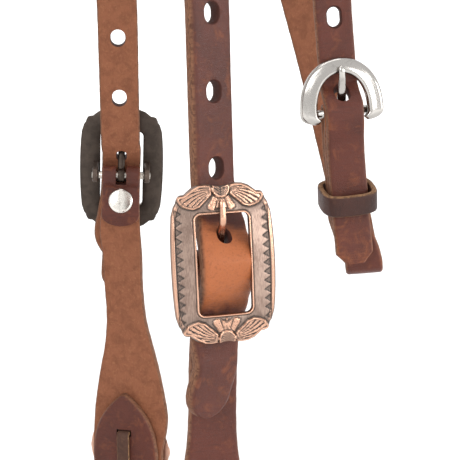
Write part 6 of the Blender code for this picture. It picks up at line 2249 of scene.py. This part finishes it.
@dataclass
class Cheek:
    """One cheek: strap, two-part screw, concho and bit lace."""

    side: str
    finish: Finishes
    grip: float = (FOLD_T + LEATHER_GAP + FOLD_END_T) / MM
    pearl: float = 0.62
    slot: tuple[float, float, float] = (TONGUE_SLOT / MM, 8.2, 9.6)    # wide, high and deep
    slot_up: float = 0.9
    bore: tuple[float, float] = (-5.6, 1.9)    # from and to, over the outer layer's middle
    slit_deep: float = 9.1
    worn: tuple[tuple[float, float], ...] = (
        (0, .12), (20, .2), (32, .45), (46, .2), (90, .10), (160, .12), (190, .35), (215, .3), (282, .15))

    def strap(self) -> None:
        """Folded end, round the pin, down to the loop for the bit and up to its point."""
        side = SIDES[self.side]
        strap = Strap(self.side + "_cheek_leather", cheek_line(side), (Tip(CHEEK_W * 0.3 / MM, False),),
                      rub=0.30, seed=3.1 + side.sign, step=0.9, wear=self.worn,
                      moulding=CHEEK_MOULDING[self.side])
        slot, bore, slits = Cutter(), Cutter(), Cutter()
        slot.block(place_of(self.side + "_buckle"), self.slot, (0, self.slot_up, 0))
        bore.loft(place_of(self.side + "_screw"), oval(BORE, BORE), [(level, 0.0) for level in self.bore])
        middle = millimetres(side.lower(CONCHO_DROP, -(CHEEK_T + LEATHER_GAP) / 2))
        for hand in (1, -1):
            slits.block(middle, (SLIT_W / MM, SLIT_H / MM, self.slit_deep), (0, hand * SLIT_OFF / MM, 0))
        settle(strap.build(self.finish.hide, (slot, bore, slits)), self.side + "_side_cheek",
               "bridle_leather", self.side + "_cheek")

    def lace(self) -> None:
        """The thong through the concho."""
        strap = Strap(self.side + "_thong", lace_line(SIDES[self.side]), rub=0.25, seed=2.2, step=0.7,
                      wobble=0.08, wear=((0, .3), (40, .1), (110, .1), (151, .3)))
        settle(strap.build(self.finish.dark), self.side + "_side_cheek", "dark_leather", self.side + "_lace")

    def fittings(self) -> None:
        """The screw and the concho with its pearls."""
        body = self.side + "_side_cheek"
        sink = Matrix.Translation((0, 0, (FOLD_T / MM - self.grip) / 2))
        screw = TwoPartScrew(self.side + "_cheek_rivet", place_of(self.side + "_screw") @ sink, self.grip)
        settle(screw.build_post(self.finish.bright), body, "polished_nickel", self.side + "_cheek_post")
        settle(screw.build_screw(self.finish.bright), body, "polished_nickel", self.side + "_cheek_screw")
        concho = Concho(self.side)
        settle(concho.build(self.finish.antique), body, "antique_copper", self.side + "_concho")
        pearls = Scatter(self.side + "_pearls").grow(*concho.pearl_places(), 1.1, self.pearl,
                                                     self.finish.antique)
        settle(pearls, body, "antique_copper")

    def build(self) -> None:
        """All of the cheek."""
        self.strap()
        self.lace()
        self.fittings()


@dataclass
class Throatlatch:
    """The throatlatch with its horseshoe buckle, tongue, keeper and stitches."""

    finish: Finishes
    stitch: float = 2.5
    stitch_r: float = 0.34
    stitch_pitch: float = 3.1
    stitch_first: float = 9.5    # below the bar
    stitch_off: float = 4.9      # to each side of the middle
    slot: tuple[float, float, float] = (4.6, 7.4, 7.9)    # wide, high and deep
    slot_at: tuple[float, float, float] = (0.0, 0.5, -1.25)
    worn: tuple[tuple[float, float], ...] = (
        (0, .2), (50, .5), (110, .35), (130, .3), (300, .1), (560, .08), (610, .25), (640, .2), (673, .45))

    def strap(self) -> None:
        """The strap in one length, with its holes and the slot for the tongue."""
        strap = Strap("throatlatch_leather", throat_line(), (Tip(THROAT_W * 0.25 / MM, False),
                                                             Tip(THROAT_W * 0.28 / MM, True, 0.5)),
                      rub=0.36, seed=4.4, wear=self.worn)
        start, high = shoe_tongue_points()[0]
        up, out = crossing(high / start, start * MM, -SHOE_BAR_BACK, shoe_out)
        first = strap.track.near(THROAT.world(0, up, out) / MM)
        holes, slot = Cutter(), Cutter()
        for i in range(THROAT_HOLES):
            strap.punch(first - i * THROAT_PITCH / MM, THROAT_HOLE_L / MM, THROAT_HOLE_W / MM, holes)
        slot.block(place_of("throat_buckle"), self.slot, self.slot_at)
        settle(strap.build(self.finish.hide, (holes, slot)), "crown", "bridle_leather", "throatlatch_strap")

    def buckle(self) -> None:
        """The horseshoe and its tongue."""
        settle(HorseshoeBuckle().build(self.finish.nickel), "horseshoe", "polished_nickel", "throat_buckle")
        frame = place_of("throat_buckle") @ Matrix.Translation((0, 0, -SHOE_BAR_BACK / MM))
        tongue = Tongue("horseshoe_tongue_shank", frame, shoe_tongue_points(), width=SHOE_TONGUE_W / MM,
                        eye=SHOE_EYE_R / MM, bar=SHOE_BAR_R / MM)
        settle(tongue.build(self.finish.nickel), "horseshoe_tongue", "polished_nickel", "throat_tongue")

    def keeper(self) -> None:
        """The loop that holds the strap's end down."""
        strap = Strap("keeper_loop", keeper_line(), closed=True, rub=0.55, seed=6.0, step=0.5, wobble=0.07,
                      wear=((0, .0), (60, .0)), moulding=((0, .5, 0, 0, 0),))
        settle(strap.build(self.finish.dark), "keeper", "dark_leather", "throat_keeper")

    def stitches(self) -> None:
        """Two rows of saddle stitch in the fold below the buckle, on its inner side."""
        place = place_of("throat_buckle")
        up = place.to_3x3() @ Vector((0, 1, 0))
        depth = (INNER_OUT - SHOE_FOLD_T / 2) / MM
        points = [place @ Vector((across, -self.stitch_first - self.stitch_pitch * i, depth))
                  for across in (-self.stitch_off, self.stitch_off) for i in range(3)]
        piece = Scatter("throat_stitches").grow(np.array(points), np.array([up] * len(points)), self.stitch,
                                                self.stitch_r, self.finish.thread)
        settle(piece, "crown", "bridle_leather")

    def build(self) -> None:
        """All of the throatlatch."""
        self.strap()
        self.buckle()
        self.keeper()
        self.stitches()


@dataclass
class Browband:
    """The browband and its two screws."""

    finish: Finishes
    grip: float = (2 * BROW_T + LEATHER_GAP) / MM
    worn: tuple[tuple[float, float], ...] = (
        (0, .15), (60, .3), (90, .1), (288, .05), (490, .1), (520, .3), (576, .15))

    def screw_frame(self, sign: int) -> Matrix:
        """The frame of one screw, Z outward, in millimetres.

        Args:
            sign: 1 on the near side, -1 on the off side.

        Returns:
            The frame.
        """
        outside, inside, _, front = brow_loop(sign)
        out, up = Vector((sign, 0, 0)), Vector((0, 0, 1))
        made = Matrix((up.cross(out), up, out)).transposed().to_4x4()
        made.translation = Vector((sign * (outside + inside) / 2, front - BROW_SCREW, -BROW_DROP)) / MM
        return made

    def build(self) -> None:
        """The strap, looped at both ends, and its screws."""
        tip = BROW_W * 0.35 / MM
        strap = Strap("browband_leather", brow_line(), (Tip(tip, False), Tip(tip, True)), rub=0.3, seed=7.7,
                      wear=self.worn)
        bores, reach = Cutter(), self.grip / 2 + 1.6
        frames = {side.name: self.screw_frame(side.sign) for side in SIDES.values()}
        for frame in frames.values():
            bores.loft(frame, oval(BORE, BORE), ((-reach, 0.0), (reach, 0.0)))
        settle(strap.build(self.finish.hide, (bores,)), "crown", "bridle_leather", "browband")
        for side, frame in frames.items():
            screw = TwoPartScrew(side + "_brow_rivet", frame, self.grip)
            settle(screw.build_post(self.finish.bright), "crown", "polished_nickel", side + "_brow_post")
            settle(screw.build_screw(self.finish.bright), "crown", "polished_nickel", side + "_brow_screw")


@dataclass
class Studio:
    """Pale floor, soft light and the camera at the picture's viewing angle."""

    azimuth: float = 71.72
    elevation: float = 15.26
    spot: tuple[float, float, float] = (503.3, -140.0, -94.3)    # of the camera, in millimetres
    focal_px: float = 1429.1
    picture_px: int = 460
    floor_z: float = -0.4165
    lift: float = 0.45           # the floor's own glow far out, and close by
    lift_near: float = 0.02
    shadow_near: float = 0.3     # metres over which the glow grows, so that the shadow stays
    shadow_far: float = 1.4

    def floor(self) -> None:
        """A wide pale floor below the hanging straps, white far out and with their shadow kept close by."""
        mesh = bpy.data.meshes.new("floor")
        corners = [(x * 6, y * 6, self.floor_z) for x, y in ((-1, -1), (1, -1), (1, 1), (-1, 1))]
        mesh.from_pydata(corners, [], [range(4)])
        p = Painter("pale_floor")
        p.wear(Base_Color=srgb("#f6f6f6"), Roughness=0.95, Emission_Color=(1, 1, 1, 1))
        path = p.node("ShaderNodeLightPath")
        seen = p.math("MAXIMUM", path.outputs["Is Camera Ray"], path.outputs["Is Transmission Ray"])
        seen = p.math("MAXIMUM", seen, path.outputs["Is Glossy Ray"])
        far = p.node("ShaderNodeVectorMath", {0: p.place()}, operation="LENGTH").outputs["Value"]
        glow = p.spread(far, self.shadow_near, self.shadow_far, self.lift_near, self.lift)
        p.wear(Emission_Strength=p.math("MULTIPLY", seen, glow))
        mesh_object("floor", mesh, p.material)

    def world(self) -> None:
        """A pale surround, brighter overhead and on the rear side; the camera and the metal see white."""
        world = bpy.data.worlds.new("studio")
        bpy.context.scene.world = world
        world.use_nodes = True
        tree = world.node_tree
        shade = tree.nodes["Background"]
        path = add(tree, "ShaderNodeLightPath")
        seen = path.outputs["Is Camera Ray"]
        for kind in ("Is Glossy Ray", "Is Transmission Ray"):
            seen = add(tree, "ShaderNodeMath", {0: seen, 1: path.outputs[kind]}, operation="MAXIMUM")
        at = add(tree, "ShaderNodeSeparateXYZ", {0: add(tree, "ShaderNodeTexCoord").outputs["Generated"]})
        rear = add(tree, "ShaderNodeMapRange", {0: at.outputs[1], 1: 0.05, 2: 0.55, 3: 0.0, 4: 0.45},
                   interpolation_type="SMOOTHSTEP")
        soft = add(tree, "ShaderNodeMapRange", {0: at.outputs[2], 1: -0.25, 2: 0.75, 3: 0.18, 4: 0.75})
        both = add(tree, "ShaderNodeMath", {0: rear, 1: soft}, operation="ADD")
        bright = add(tree, "ShaderNodeMapRange", {0: seen, 1: 0.0, 2: 1.0, 3: both.outputs[0], 4: 1.0})
        tree.links.new(bright.outputs[0], shade.inputs["Strength"])
        shade.inputs["Color"].default_value = (1, 1, 1, 1)

    def lamp(self, name: str, spot: tuple[float, float, float], size: float, watts: float) -> None:
        """A square soft lamp that looks at the middle of the headstall.

        Args:
            name: Its name.
            spot: Its place, in metres.
            size: Its width, in metres.
            watts: Its power.
        """
        data = bpy.data.lights.new(name, "AREA")
        data.size, data.energy = size, watts
        made = bpy.data.objects.new(name, data)
        made.location = spot
        aim = Vector((0.04, 0.0, -0.24)) - Vector(spot)
        made.rotation_euler = aim.to_track_quat("-Z", "Y").to_euler()
        bpy.context.scene.collection.objects.link(made)

    def camera(self) -> None:
        """The camera at the picture's viewing angle."""
        az, el = math.radians(self.azimuth), math.radians(self.elevation)
        ahead = Vector((-math.sin(az) * math.cos(el), math.cos(az) * math.cos(el), -math.sin(el)))
        right = Vector((math.cos(az), math.sin(az), 0))
        data = bpy.data.cameras.new("camera")
        data.sensor_width = 36.0
        data.lens = data.sensor_width * self.focal_px / self.picture_px
        data.clip_start, data.clip_end = 0.02, 50
        made = bpy.data.objects.new("camera", data)
        matrix = Matrix((right, right.cross(ahead), -ahead)).transposed().to_4x4()
        matrix.translation = Vector(self.spot) * MM
        made.matrix_world = matrix
        bpy.context.scene.collection.objects.link(made)
        bpy.context.scene.camera = made

    def build(self) -> None:
        """Floor, surround, lamps and camera."""
        bpy.context.scene.view_settings.view_transform = "Standard"
        self.floor()
        self.world()
        self.lamp("key", (1.9, -1.6, 1.0), 1.3, 26.0)
        self.lamp("fill", (1.2, 2.15, 0.1), 0.7, 15.0)
        self.lamp("top", (0.0, -0.3, 1.9), 1.5, 13.0)
        self.lamp("rim", (-2.0, -0.8, 0.5), 1.4, 9.0)
        self.lamp("card", (1.92, 0.84, 0.2), 0.75, 9.0)
        self.camera()


def main() -> None:
    """Builds the sub-assemblies in order."""
    logging.basicConfig(level=logging.INFO, format="%(name)s: %(message)s")
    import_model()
    Studio().build()
    finish = Finishes.make()
    Crown(finish).build()
    for side in SIDES:
        Cheek(side, finish).build()
    Throatlatch(finish).build()
    Browband(finish).build()


if __name__ == "__main__":
    main()
